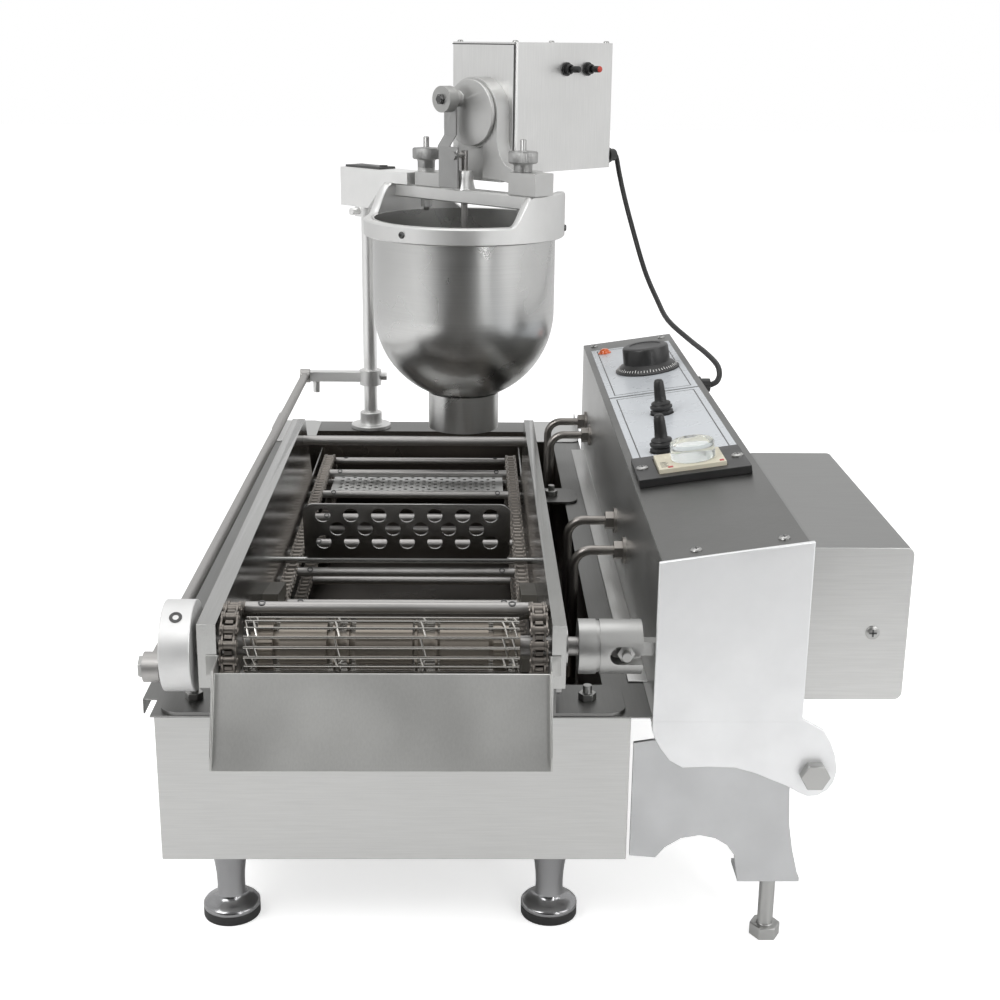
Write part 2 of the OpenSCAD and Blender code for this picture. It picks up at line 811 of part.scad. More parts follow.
module thumb_nuts() {
  color([0.45, 0.45, 0.46])
    dep()
      for (k = [0, 1])
        translate([nut_x[k], 6, 0]) {
          zcyl(0, 0, nut_z[k], nut_z[k] + 11, 12);
          zcyl(0, 0, nut_z[k] + 11, nut_z[k] + 26, 19);
          zcyl(0, 0, bar_z - 35, nut_z[k] + 41, 4);
          translate([0, 0, bar_z - 30])
            cylinder(h = 12, r = 8, $fn = 6);
        }
}

module depositor_box() {
  color([0.75, 0.76, 0.77])
    dep()
      difference() {
        translate([0, 0, dbox_z])
          linear_extrude(dbox_h)
            round_rect(dbox_x0, dbox_x1, dbox_y0, dbox_y1, 6);
        box(dbox_x0 + sheet, dbox_x1 - sheet, dbox_y0 + sheet, dbox_y1 - sheet, dbox_z - 1,
          dbox_z + dbox_h - sheet);
        ycyl(arm_reach, dbox_y0 - 1, dbox_y0 + 3, crank_z, 9);
        for (y = dep_switch_y)
          xcyl(dbox_x1 - 3, dbox_x1 + 1, y, dep_switch_z, 5);
      }
}

module gear_housing() {
  color([0.62, 0.62, 0.63])
    dep()
      difference() {
        union() {
          ycyl(arm_reach, crank_y, dbox_y0, crank_z, 46);
          box(arm_reach - 35, arm_reach + 46, 22, dbox_y0, bar_z + 10, crank_z);
          box(nut_x[0] - 3, arm_reach - 34, -13, dbox_y0, bar_z, bar_z + 18);
          zcyl(nut_x[0], 6, bar_z + 18, nut_z[0], 12);
          along_y(14, dbox_y0)
            translate([arm_reach, bar_z])
              polygon([[20, 98], [46, 98], [46, 62], [51, 46], [61, 34], [77, 28], [106, 28], [106, 10],
                [73, 10], [50, 14], [20, 14]]);
          box(nut_x[1] - 8, arm_reach + ring_r + 5, -13, 22, bar_z, nut_z[1]);
        }
        ycyl(arm_reach, crank_y - 1, dbox_y0 + 1, crank_z, 7 + fit);
        zcyl(nut_x[0], 6, bar_z - 1, nut_z[0] + 1, 4.5);
        zcyl(nut_x[1], 6, bar_z - 1, nut_z[1] + 1, 4.5);
      }
}

module depositor_crank() {
  color([0.66, 0.66, 0.67])
    dep() {
      ycyl(arm_reach, crank_y - 6, crank_y - gap, crank_z, 43);
      ycyl(arm_reach, crank_y - 6, dbox_y0 + 20, crank_z, 7);
      translate([arm_reach, 0, crank_z])
        rotate([0, -50, 0])
          ycyl(0, link_y + gap, crank_y - 5, plunger_throw, 10);
    }
}

module plunger_rod() {
  color([0.72, 0.72, 0.73])
    dep() {
      zcyl(arm_reach, 0, nozzle_z + 14, bolt_z + 6, plunger_r);
      ycyl(arm_reach, link_y - 12, 0, bolt_z, 4);
    }
}

// strip from the crank pin down to the plunger's cross piece
module plunger_strip() {
  kx = arm_reach - plunger_throw * sin(50);
  kz = crank_z + plunger_throw * cos(50);
  color([0.6, 0.6, 0.61])
    dep() {
      along_x(kx - 11, kx + 11)
        polygon([[link_y, kz + 11], [link_y - 3, kz + 11], [link_y - 3, bolt_z + 25],
          [link_y - 15, bolt_z + 11], [link_y - 15, bolt_z + 6], [link_y - 12, bolt_z + 6],
          [link_y - 12, bolt_z + 12.5], [link_y, bolt_z + 26.5]]);
      box(kx - 9, arm_reach + 6, link_y - 15, link_y - 12, bolt_z - 42, bolt_z + 11);
      ycyl(kx, link_y - 19, link_y - 3, kz, 17);
      ycyl(kx, link_y - 24, link_y - 19, kz, 5);
      translate([arm_reach, link_y - 15, bolt_z])
        rotate([90, 0, 0])
          cylinder(h = 4, r = 6, $fn = 6);
    }
}

module piston() {
  color([0.85, 0.85, 0.83])
    dep()
      difference() {
        zcyl(arm_reach, 0, nozzle_z + 18, nozzle_z + 34, nozzle_r - 8.5);
        zcyl(arm_reach, 0, nozzle_z + 17, nozzle_z + 35, plunger_r);
      }
}

// switch bush and lever, both along +Z from the panel face
module switch_bush() {
  difference() {
    union() {
      cylinder(h = 3, r = 9);
      cylinder(h = 9, r = 6.5);
      translate([0, 0, -8])
        cylinder(h = 9, r = 5);
    }
    cylinder(h = 10, r = 4.6);
  }
}

module switch_lever() {
  translate([0, 2.7, 4.2])
    rotate([90, 0, 0])
      cylinder(h = 5.4, r = 3.6);
  translate([0, 0, 4.2])
    cylinder(h = 18, r = 2.3);
  translate([0, 0, 22.2])
    sphere(3.4);
}

// larger sealed switch of the control panel
module boot_nut() {
  difference() {
    union() {
      cylinder(h = 5, r = 13, $fn = 6);
      cylinder(h = 9, r = 10);
    }
    translate([0, 0, 1])
      cylinder(h = 10, r = 8.2);
  }
}

module boot_lever() {
  xcyl(-4.5, 4.5, 0, 8.2, 6.6);
  translate([0, 0, 8.2])
    cylinder(h = 28, r1 = 5.6, r2 = 4.4);
  translate([0, 0, 36.2])
    sphere(4.4);
}

module dep_switch(k) {
  dep()
    translate([dbox_x1, dep_switch_y[k], dep_switch_z])
      rotate([0, 90, 0])
        children();
}

module depositor_fittings() {
  color([0.25, 0.25, 0.26]) {
    for (k = [0, 1])
      dep_switch(k)
        switch_bush();
    dep()
      translate([plug_x, dbox_y1, dbox_z + 16])
        rotate([-90, 0, 0]) {
          cylinder(h = 5, r = 11);
          cylinder(h = 16, r = 8.5);
        }
  }
}

module depositor_switch_a() {
  color([0.7, 0.7, 0.72])
    dep_switch(0)
      switch_lever();
}

module depositor_switch_b() {
  color([0.75, 0.12, 0.1])
    dep_switch(1)
      switch_lever();
}

module control_case() {
  color([0.5, 0.51, 0.52])
    difference() {
      union() {
        along_y(0, box_length)
          polygon([[bx0, box_z0], [bx1, box_z0], [bx1, box_z1], [bx0, box_zl]]);
        box(cx + 4, bx0 + sheet, 70, min(box_length - 60, casing_length - 130), rim_z, rim_z + sheet);
      }
      along_y(sheet, box_length - sheet)
        polygon([[bx0 + sheet, box_z0 + sheet], [bx1 - sheet, box_z0 + sheet],
          [bx1 - sheet, box_z1 + 5], [bx0 + sheet, box_zl + 5]]);
      xcyl(bx0 - 1, bx0 + 3, shaft_y, shaft_z, 10.2);
    }
}

// panel frame: on the sloped top, x across and y along
module on_top(x, y) {
  translate([x, y, box_zl + (x - bx0) * top_drop / box_width])
    rotate([0, -slope, 0])
      translate([0, 0, sheet])
        children();
}

module control_top() {
  color([0.72, 0.73, 0.74])
    difference() {
      along_y(0, box_length)
        polygon([[bx0, box_zl], [bx1, box_z1], [bx1 - sheet * sin(slope), box_z1 + sheet * cos(slope)],
          [bx0 - sheet * sin(slope), box_zl + sheet * cos(slope)]]);
      on_top(knob_x, knob_y)
        zcyl(0, 0, -5, 5, 3 + fit);
    }
}

module label_plates() {
  color([0.85, 0.86, 0.87])
    difference() {
      for (y = [[304, 596], [602, box_length - 50]])
        on_top(bx0 + 61, 0)
          box(-54, 54, y[0], y[1], 0, 0.6);
      on_top(knob_x, knob_y)
        zcyl(0, 0, -5, 5, 3 + fit);
      for (k = [0, 1])
        on_top(sw_x[k], sw_y[k])
          zcyl(0, 0, -2, 5, 14);
      on_top(bx0 + 24, box_length - 74)
        zcyl(0, 0, -2, 5, 9);
      on_top(bx0 + 85, 350)
        zcyl(0, 0, -2, 5, 9);
    }
}

module front_cheek() {
  color([0.78, 0.79, 0.78])
    difference() {
      along_y(-4, 0)
        polygon([[bx0 - 4, box_zl + 3], [bx1 + 3, box_z1 + 4], [bx1 + 3, box_z0 + 22],
          [hang_x + 6, box_z0 + 11], [hang_x + 13, box_z0 - 1], [hang_x + 18, box_z0 - 14],
          [hang_x + 20, box_z0 - 28], [hang_x + 18, box_z0 - 38], [hang_x + 13, box_z0 - 46],
          [hang_x + 5, box_z0 - 51], [hang_x - 4, box_z0 - 52], [hang_x - 11, box_z0 - 49],
          [hang_x - 23, box_z0 - 42], [hang_x - 35, box_z0 - 37], [hang_x - 51, box_z0 - 30],
          [hang_x - 68, box_z0 - 25], [bx0 + 46, box_z0 - 24], [bx0 + 24, box_z0 - 25],
          [bx0 + 12, box_z0 - 18], [bx0 + 4, box_z0 - 7], [bx0 - 1, box_z0 + 2], [bx0 - 4, box_z0 + 10]]);
      ycyl(hang_x, -5, 1, box_z0 - 30, 6);
    }
}

module support_plates() {
  color([0.7, 0.71, 0.7])
    for (y = [0, box_length - 4])
      difference() {
        union() {
          along_y(y, y + 4)
            polygon([[bx0 - 19, box_z0 - 112], [bx0 - 19, box_z0 - 3], [bx0, box_z0], [hang_x - 19, box_z0],
              [hang_x - 19, box_z0 - 49], [hang_x - 17, box_z0 - 82], [hang_x - 13, box_z0 - 106],
              [hang_x - 5, box_z0 - 138], [bx0 + 78, box_z0 - 138], [bx0 + 74, box_z0 - 112],
              [bx0 + 67, box_z0 - 102],
              [bx0 + 56, box_z0 - 95], [bx0 + 42, box_z0 - 92], [bx0 + 26, box_z0 - 95],
              [bx0 + 12, box_z0 - 104], [bx0 + 4, box_z0 - 114]]);
          box(bx0, hang_x - 19, y == 0 ? 0 : y - 30, y == 0 ? 34 : y + 4, box_z0 - 3, box_z0);
          box(bx0 + 78, hang_x - 5, y == 0 ? 0 : y - 30, y == 0 ? 34 : y + 4, box_z0 - 138, box_z0 - 134);
          along_y(y == 0 ? 0 : y - 6, y == 0 ? 10 : y + 4)
            polygon([[hang_x - 37, box_z0 - 3], [hang_x - 37, box_z0 - 20], [hang_x - 15, box_z0 - 44],
              [hang_x + 11, box_z0 - 44], [hang_x + 11, box_z0 - 18], [hang_x - 19, box_z0 - 3]]);
        }
        ycyl(hang_x, y - 20, y + 20, box_z0 - 30, 6);
        zcyl(bx0 + 109, y == 0 ? 18 : y - 14, box_z0 - 140, box_z0 - 130, 7);
      }
}

module support_bolts() {
  color([0.6, 0.6, 0.61])
    for (s = [0, 1]) {
      y = s == 0 ? 18 : box_length - 18;
      translate([bx0 + 109, y, 0])
        cylinder(h = 12, r = 14, $fn = 6);
      zcyl(bx0 + 109, y, 12, box_z0 - 110, 7);
      ycyl(hang_x, s == 0 ? -4 : box_length - 10, s == 0 ? 14 : box_length, box_z0 - 30, 6);
      translate([hang_x, s == 0 ? -4 : box_length + 9, box_z0 - 30])
        rotate([90, 0, 0])
          cylinder(h = 9, r = 13, $fn = 6);
    }
}

module gearmotor_cover() {
  color([0.7, 0.71, 0.7])
    difference() {
      along_y(5, 5 + cover_length)
        round_rect(bx1, cover_x1, cover_z0, cover_z1, 7);
      box(bx1 - 1, cover_x1 - sheet, 5 + sheet, 5 + cover_length - sheet, cover_z0 + sheet, cover_z1 - sheet);
    }
}

module thermostat_knob() {
  color([0.08, 0.08, 0.08])
    on_top(knob_x, knob_y) {
      translate([0, 0, 0.6 + gap])
        cylinder(h = 8, r1 = knob_diameter / 2 + 11, r2 = knob_diameter / 2 + 3);
      zcyl(0, 0, 8, 32, knob_diameter / 2);
      zcyl(0, 0, -12, 9, 3);
    }
}

module lamp(r, h) {
  zcyl(0, 0, 0, 2, r + 1);
  zcyl(0, 0, 2, h, r);
}

module lamp_orange() {
  color([0.95, 0.25, 0.05])
    on_top(bx0 + 24, box_length - 74)
      lamp(7, 5);
}

module lamp_green() {
  color([0.1, 0.6, 0.2])
    on_top(bx0 + 85, 350)
      lamp(7, 5);
}

// black panel pieces: switch nuts, timer frame and cable gland
module panel_fittings() {
  color([0.12, 0.12, 0.12]) {
    for (k = [0, 1])
      on_top(sw_x[k], sw_y[k])
        boot_nut();
    on_top(timer_x, timer_y)
      difference() {
        box(-55, 55, -40, 40, 0, 8);
        box(-34, 34, -28, 28, 3, 9);
      }
    xcyl(bx1, bx1 + 6, gland_y, gland_z, 11);
    xcyl(bx1, bx1 + 18, gland_y, gland_z, 8.5);
  }
}

module control_switch_a() {
  color([0.7, 0.7, 0.72])
    on_top(sw_x[0], sw_y[0])
      boot_lever();
}

module control_switch_b() {
  color([0.7, 0.7, 0.72])
    on_top(sw_x[1], sw_y[1])
      boot_lever();
}

module timer_relay() {
  color([0.85, 0.83, 0.76])
    on_top(timer_x, timer_y)
      difference() {
        box(-33, 33, -27, 27, 3, 12);
        zcyl(4, 0, 4, 13, 4 + fit);
      }
}

module timer_dial() {
  color([0.8, 0.83, 0.85])
    on_top(timer_x, timer_y) {
      zcyl(4, 0, 12 + gap, 30, 22);
      zcyl(4, 0, 5, 13, 4);
    }
}

module panel_screws() {
  color([0.55, 0.55, 0.56]) {
    for (x = [-47, 47])
      on_top(timer_x + x, timer_y)
        zcyl(0, 0, 8, 10.5, 6);
    for (p = [[30, 20], [104, 20], [14, box_length - 20], [108, box_length - 20]])
      on_top(bx0 + p[0], p[1])
        zcyl(0, 0, 0, 2.5, 5);
    ycyl(cover_x1 - 30, 3, 5, cover_z0 + 62, 6);
  }
}

module heater(y) {
  translate([0, y, 0]) {
    xcyl(heat_x + 18, bx0, 0, heat_z, 5);
    translate([heat_x + 18, 0, heat_z - 18])
      rotate([90, 0, 0])
        rotate([0, 0, 90])
          rotate_extrude(angle = 90)
            translate([18, 0])
              circle(5);
    zcyl(heat_x, 0, pan_z + 18, heat_z - 18, 5);
    hex_x(bx0 - 12, bx0 - 3, 0, heat_z, 10);
    xcyl(bx0 - 3, bx0, 0, heat_z, 14);
  }
}

module heaters() {
  color([0.42, 0.38, 0.35])
    for (y = [[300, 403], [casing_length - 259, casing_length - 185]]) {
      heater(y[0]);
      heater(y[1]);
      ycyl(heat_x, y[0] - 5, y[1] + 5, pan_z + 18, 5);
    }
}

// smooth line through the cord's points, four rings to each span
function curve(a, b, c, d, t) =
  0.5 * (2 * b + (c - a) * t + (2 * a - 5 * b + 4 * c - d) * t * t + (3 * b - a - 3 * c + d) * t * t * t);
cord_spans = len(cord_points) - 1;
function cord_at(i) =
  let (k = min(floor(i / 4), cord_spans - 1), t = i / 4 - k)
    curve(cord_points[max(k - 1, 0)], cord_points[k], cord_points[k + 1],
      cord_points[min(k + 2, cord_spans)], t);
function unit(v) = v / norm(v);
function cord_dir(i) = unit(cord_at(min(i + 1, 4 * cord_spans)) - cord_at(max(i - 1, 0)));
function cord_u(i) = unit(cross(cord_dir(i), [1, 0.2, 0]));
function cord_v(i) = cross(cord_dir(i), cord_u(i));

module cord() {
  n = 4 * cord_spans;
  s = cord_sides;
  color([0.06, 0.06, 0.06])
    polyhedron(
      points = [for (i = [0 : n]) for (j = [0 : s - 1])
        cord_at(i) + cord_diameter / 2 * (cos(j * 360 / s) * cord_u(i) + sin(j * 360 / s) * cord_v(i))],
      faces = concat(
        [[for (j = [0 : s - 1]) j]],
        [for (i = [0 : n - 1]) for (j = [0 : s - 1])
          [i * s + j, (i + 1) * s + j, (i + 1) * s + (j + 1) % s, i * s + (j + 1) % s]],
        [[for (j = [s - 1 : -1 : 0]) n * s + j]]));
}

place()
    chains();
place()
    casing();
place()
    oil_tank();
place()
    feet();
place()
    foot_pads();
place()
    rear_corner_plates();
place()
    side_plates();
place()
    foot_brackets();
place()
    frame_bolts();
place()
    tie_rods();
place()
    drive_sprockets();
place()
    rear_shaft();
place()
    flights();
place()
    chain_guides();
place()
    shaft_bearings();
place()
    drive_shaft();
place()
    belt_roller();
place()
    wire_belt();
place()
    crank_disc();
place()
    crank_pin();
place()
    link_rod();
place()
    coupling();
place()
    chute();
place()
    flipper_plate();
place()
    paddles();
place()
    post_base();
place()
    post();
place()
    lever();
place()
    arm();
place()
    hopper_ring();
place()
    hopper_bowl();
place()
    nozzle();
place()
    thumb_nuts();
place()
    depositor_box();
place()
    gear_housing();
place()
    depositor_crank();
place()
    plunger_rod();
place()
    plunger_strip();
place()
    piston();
place()
    depositor_fittings();
place()
    depositor_switch_a();
place()
    depositor_switch_b();
place()
    control_case();
place()
    control_top();
place()
    label_plates();
place()
    front_cheek();
place()
    support_plates();
place()
    support_bolts();
place()
    gearmotor_cover();
place()
    thermostat_knob();
place()
    lamp_orange();
place()
    lamp_green();
place()
    panel_fittings();
place()
    control_switch_a();
place()
    control_switch_b();
place()
    timer_relay();
place()
    timer_dial();
place()
    panel_screws();
place()
    heaters();
place()
    cord();
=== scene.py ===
"""Looks of the donut fryer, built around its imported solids. Metres, +Z up, the chute faces -Y."""

import json
import math

import bmesh
import bpy
from mathutils import Matrix, Vector


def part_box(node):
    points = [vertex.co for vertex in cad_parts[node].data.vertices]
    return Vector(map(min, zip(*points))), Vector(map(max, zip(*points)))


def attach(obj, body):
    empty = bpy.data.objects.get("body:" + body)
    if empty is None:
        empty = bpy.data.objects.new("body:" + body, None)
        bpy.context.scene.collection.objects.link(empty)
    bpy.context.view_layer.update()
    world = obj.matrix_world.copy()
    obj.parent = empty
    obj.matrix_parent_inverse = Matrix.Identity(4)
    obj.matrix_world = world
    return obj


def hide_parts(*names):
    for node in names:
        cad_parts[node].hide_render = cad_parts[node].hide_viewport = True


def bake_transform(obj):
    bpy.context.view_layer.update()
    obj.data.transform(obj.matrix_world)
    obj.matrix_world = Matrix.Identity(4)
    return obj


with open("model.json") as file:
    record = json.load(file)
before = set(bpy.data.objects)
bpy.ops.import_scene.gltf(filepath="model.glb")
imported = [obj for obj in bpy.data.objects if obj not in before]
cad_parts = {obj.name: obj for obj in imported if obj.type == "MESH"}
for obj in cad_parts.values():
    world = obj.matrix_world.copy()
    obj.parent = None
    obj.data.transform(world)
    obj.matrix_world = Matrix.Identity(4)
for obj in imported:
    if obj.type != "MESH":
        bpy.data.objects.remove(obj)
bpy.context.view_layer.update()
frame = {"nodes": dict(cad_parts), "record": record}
NODES = frame["nodes"]
RECORD = frame["record"]
BODY_OF = {node: body for body, nodes in RECORD["behaviour"]["bodies"].items() for node in nodes}
SLOT_OF = {part["node"]: part["material_slot"] for part in RECORD["subparts"]}

MM = 0.001
# millimetres from the middle of the casing's front edge on the floor, as the part's source counts
casing_low, casing_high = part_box("casing")
BASE = Vector(((casing_low.x + casing_high.x) / 2, casing_low.y, 0))


def at(x, y, z):
    return BASE + Vector((x, y, z)) * MM


# places that several pieces share, in millimetres
RIM = 225  # top of the pan's rim
SHAFT_Y, SHAFT_Z = 12, 284
CHAIN_LEFT, CHAIN_RIGHT = -135, 123
PITCH, TEETH, RAMP_LINKS, FLAT_LINKS, FLIGHT_STEP = 12.7, 16, 22, 48, 8
STEP = 2 * math.pi / TEETH
PITCH_R = PITCH / (2 * math.sin(math.pi / TEETH))


# camera

# place in millimetres, turns in radians, focal length in picture widths
CAMERA_AT = (63.5, -1192, 778)
CAMERA_DOWN, CAMERA_YAW, CAMERA_ROLL = 0.2936, 0.0216, 0.0111
FOCAL_WIDTHS, SENSOR, CLIP_END = 1.52, 36, 30


def make_camera():
    data = bpy.data.cameras.new("camera")
    data.lens = FOCAL_WIDTHS * SENSOR
    data.sensor_width = SENSOR
    data.clip_end = CLIP_END
    camera = bpy.data.objects.new("camera", data)
    bpy.context.collection.objects.link(camera)
    forward = Vector((
        math.sin(CAMERA_YAW) * math.cos(CAMERA_DOWN),
        math.cos(CAMERA_YAW) * math.cos(CAMERA_DOWN),
        -math.sin(CAMERA_DOWN),
    ))
    right = Vector((math.cos(CAMERA_YAW), -math.sin(CAMERA_YAW), 0))
    up = right.cross(forward)
    turned_right = right * math.cos(CAMERA_ROLL) + up * math.sin(CAMERA_ROLL)
    turned_up = up * math.cos(CAMERA_ROLL) - right * math.sin(CAMERA_ROLL)
    axes = Matrix((turned_right, turned_up, -forward)).transposed().to_4x4()
    camera.matrix_world = Matrix.Translation(at(*CAMERA_AT)) @ axes
    bpy.context.scene.camera = camera


make_camera()


# materials

# scales of the noises: brush streaks, handling marks, mottling, moulded skin, dust, lens and haze
STREAKS, MARKS, MOTTLE, SKIN, DUST, LENS, HAZE = 6, 7, 22, 420, 35, 160, 60
MARK_SHARE = 0.45


def new_material(name):
    material = bpy.data.materials.new(name)
    material.use_nodes = True
    tree = material.node_tree
    return material, tree, tree.nodes["Principled BSDF"]


def ramp(tree, source, stops):
    node = tree.nodes.new("ShaderNodeValToRGB")
    tree.links.new(source, node.inputs["Fac"])
    elements = node.color_ramp.elements
    while len(elements) < len(stops):
        elements.new(0.5)
    for element, (place, value) in zip(elements, stops):
        element.position = place
        element.color = (*value, 1) if isinstance(value, tuple) else (value, value, value, 1)
    return node.outputs["Color"]


# a tone made lighter or darker
def scaled(tone, factor):
    return tuple(min(1, c * factor) for c in tone)


def noise(tree, scale, detail, stretch=(1, 1, 1)):
    coordinates = tree.nodes.new("ShaderNodeTexCoord")
    mapping = tree.nodes.new("ShaderNodeMapping")
    mapping.inputs["Scale"].default_value = stretch
    texture = tree.nodes.new("ShaderNodeTexNoise")
    texture.inputs["Scale"].default_value = scale
    texture.inputs["Detail"].default_value = detail
    tree.links.new(coordinates.outputs["Object"], mapping.inputs["Vector"])
    tree.links.new(mapping.outputs["Vector"], texture.inputs["Vector"])
    return texture.outputs["Fac"]


def bump(tree, shader, height, distance):
    node = tree.nodes.new("ShaderNodeBump")
    node.inputs["Distance"].default_value = distance
    tree.links.new(height, node.inputs["Height"])
    tree.links.new(node.outputs["Normal"], shader.inputs["Normal"])


# brushed sheet: fine streaks along one axis, slow clouds of handling marks
def brushed(name, tone, rough, grain, streak=0.035):
    material, tree, shader = new_material(name)
    shader.inputs["Metallic"].default_value = 1.0
    fine = noise(tree, STREAKS, 5, grain)
    clouds = noise(tree, MARKS, 3)
    light = scaled(tone, 1.06)
    streaks = ramp(tree, fine, [(0.3, scaled(tone, 0.93)), (0.7, light)])
    marks = ramp(tree, clouds, [(0.35, scaled(tone, 0.95)), (0.65, light)])
    half = tree.nodes.new("ShaderNodeMix")
    half.data_type = "RGBA"
    half.inputs["Factor"].default_value = MARK_SHARE
    tree.links.new(streaks, half.inputs[6])
    tree.links.new(marks, half.inputs[7])
    tree.links.new(half.outputs[2], shader.inputs["Base Color"])
    roughness = ramp(tree, clouds, [(0.3, rough - 0.05), (0.7, rough + 0.07)])
    tree.links.new(roughness, shader.inputs["Roughness"])
    bump(tree, shader, fine, streak * MM)
    return material


# cast metal: pebbled skin with soft mottling
def cast(name, tone, rough, size=260, depth=0.08):
    material, tree, shader = new_material(name)
    shader.inputs["Metallic"].default_value = 1.0
    pebbles = noise(tree, size, 3)
    mottle = noise(tree, MOTTLE, 4)
    color = ramp(tree, mottle, [(0.3, scaled(tone, 0.94)), (0.7, tone)])
    tree.links.new(color, shader.inputs["Base Color"])
    roughness = ramp(tree, mottle, [(0.3, rough + 0.08), (0.7, rough - 0.04)])
    tree.links.new(roughness, shader.inputs["Roughness"])
    bump(tree, shader, pebbles, depth * MM)
    return material


# plastic or rubber: faint moulding grain and dust
def moulded(name, tone, rough, grain=0.03):
    material, tree, shader = new_material(name)
    skin = noise(tree, SKIN, 2)
    dust = noise(tree, DUST, 4)
    dusty = tuple(min(1, c * 1.03 + 0.006) for c in tone)
    color = ramp(tree, dust, [(0.35, tone), (0.75, dusty)])
    tree.links.new(color, shader.inputs["Base Color"])
    roughness = ramp(tree, dust, [(0.3, rough - 0.04), (0.7, rough + 0.08)])
    tree.links.new(roughness, shader.inputs["Roughness"])
    bump(tree, shader, skin, grain * MM)
    return material


# coloured lamp lens: glossy, with a faint depth
def lens(name, tone):
    material, tree, shader = new_material(name)
    depth = noise(tree, LENS, 1)
    color = ramp(tree, depth, [(0.3, scaled(tone, 0.75)), (0.7, tone)])
    tree.links.new(color, shader.inputs["Base Color"])
    shader.inputs["Roughness"].default_value = 0.12
    shader.inputs["Coat Weight"].default_value = 0.5
    return material


# clear plastic with a little haze
def clear(name):
    material, tree, shader = new_material(name)
    haze = noise(tree, HAZE, 3)
    color = ramp(tree, haze, [(0.3, (0.86, 0.9, 0.88)), (0.7, (0.95, 0.97, 0.96))])
    tree.links.new(color, shader.inputs["Base Color"])
    roughness = ramp(tree, haze, [(0.3, 0.03), (0.7, 0.1)])
    tree.links.new(roughness, shader.inputs["Roughness"])
    shader.inputs["Transmission Weight"].default_value = 0.85
    shader.inputs["IOR"].default_value = 1.2
    return material


# stretch of the streaks: few changes along the brushing, many across it
ALONG_X, ALONG_Y, ALONG_Z = (4, 120, 120), (120, 4, 120), (120, 120, 4)
ROUND_Z = (1, 1, 190)

# a look that has a material slot's name is the slot's own
LOOKS = {
    "sheet": brushed("brushed_sheet", (0.56, 0.56, 0.55), 0.38, ALONG_X),
    # painted light and shade: the motor cover's sheet comes as a lighter copy for its front and
    # sides and a darker copy for its top
    "sheet_cover_lit": brushed("brushed_cover_lit", (0.64, 0.64, 0.63), 0.40, ALONG_X),
    "cover_top_shade": brushed("brushed_cover_shade", (0.30, 0.30, 0.295), 0.38, ALONG_X),
    "sheet_top": brushed("brushed_top", (0.18, 0.18, 0.175), 0.36, ALONG_X),
    "post": brushed("ground_post", (0.93, 0.93, 0.92), 0.36, ALONG_Z),
    "sheet_box": brushed("brushed_box", (0.74, 0.74, 0.73), 0.40, ALONG_Z),
    "sheet_chute": brushed("brushed_chute", (0.51, 0.51, 0.495), 0.47, ALONG_Z),
    "sheet_long": brushed("brushed_sheet_long", (0.50, 0.50, 0.49), 0.34, ALONG_Y),
    "sheet_plate": brushed("polished_plate", (0.43, 0.43, 0.42), 0.17, ALONG_Y),
    "sheet_dull": brushed("dull_rim", (0.21, 0.21, 0.205), 0.36, ALONG_Y),
    # painted shade: near-black brown copy of the sheet for the pan's inside
    "sheet_inside": brushed("pan_inside_shade", (0.085, 0.075, 0.065), 0.3, ALONG_Y),
    "bowl": brushed("spun_bowl", (0.66, 0.66, 0.65), 0.27, ROUND_Z, 0.015),
    "rod": brushed("drawn_rod", (0.43, 0.42, 0.41), 0.42, ALONG_X),
    "cast": cast("cast_alloy", (0.78, 0.78, 0.77), 0.42),
    "cast_soft": cast("soft_alloy", (0.76, 0.76, 0.755), 0.58),
    "cast_dull": cast("dull_alloy", (0.46, 0.46, 0.45), 0.40),
    "cast_arm": cast("arm_alloy", (0.92, 0.92, 0.91), 0.44),
    "cast_housing": cast("housing_alloy", (0.60, 0.60, 0.59), 0.42),
    "strap": cast("strap_steel", (0.40, 0.40, 0.395), 0.36),
    "cast_panel": cast("cast_panel", (0.87, 0.875, 0.88), 0.46, 330, 0.06),
    # painted shade: a darker copy of the front cheek's paint for the support plates under the
    # control box
    "cast_support_shade": cast("cast_support_shade", (0.57, 0.575, 0.58), 0.46, 330, 0.06),
    "bolt": cast("bolt_steel", (0.45, 0.45, 0.44), 0.33, 500, 0.03),
    "dark_bolt": cast("dark_steel", (0.12, 0.12, 0.12), 0.36, 500, 0.03),
    "feet": cast("foot_alloy", (0.34, 0.34, 0.345), 0.2, 300, 0.02),
    "foot_rubber": moulded("foot_rubber", (0.015, 0.015, 0.015), 0.5),
    "guide": moulded("stained_guide", (0.06, 0.055, 0.045), 0.45),
    "chain": cast("oiled_chain", (0.23, 0.21, 0.19), 0.34, 500, 0.04),
    "roller": brushed("oiled_roller", (0.30, 0.27, 0.235), 0.40, ALONG_Y),
    "wire": brushed("bright_wire", (0.52, 0.505, 0.475), 0.22, ALONG_X),
    "heater": cast("heater_tube", (0.34, 0.32, 0.30), 0.36, 400, 0.04),
    "black": moulded("black_plastic", (0.016, 0.016, 0.016), 0.34),
    "boot": moulded("black_rubber", (0.012, 0.012, 0.012), 0.42),
    "boot_red": moulded("red_rubber", (0.5, 0.05, 0.03), 0.40),
    "cable": moulded("cable_sheath", (0.012, 0.012, 0.012), 0.42),
    "piston": moulded("white_piston", (0.72, 0.72, 0.69), 0.40),
    "label": moulded("label_film", (0.52, 0.545, 0.57), 0.28, 0.0003),
    "relay": moulded("beige_relay", (0.62, 0.58, 0.46), 0.40),
    "lamp_orange": lens("orange_lens", (0.75, 0.13, 0.02)),
    "lamp_green": lens("green_lens", (0.06, 0.34, 0.14)),
    "mark": moulded("white_mark", (0.78, 0.78, 0.76), 0.45, 0.01),
    "print": moulded("black_print", (0.03, 0.03, 0.03), 0.4, 0.01),
    "red_pip": moulded("red_pip", (0.45, 0.03, 0.04), 0.35, 0.01),
    "clear": clear("clear_dome"),
}
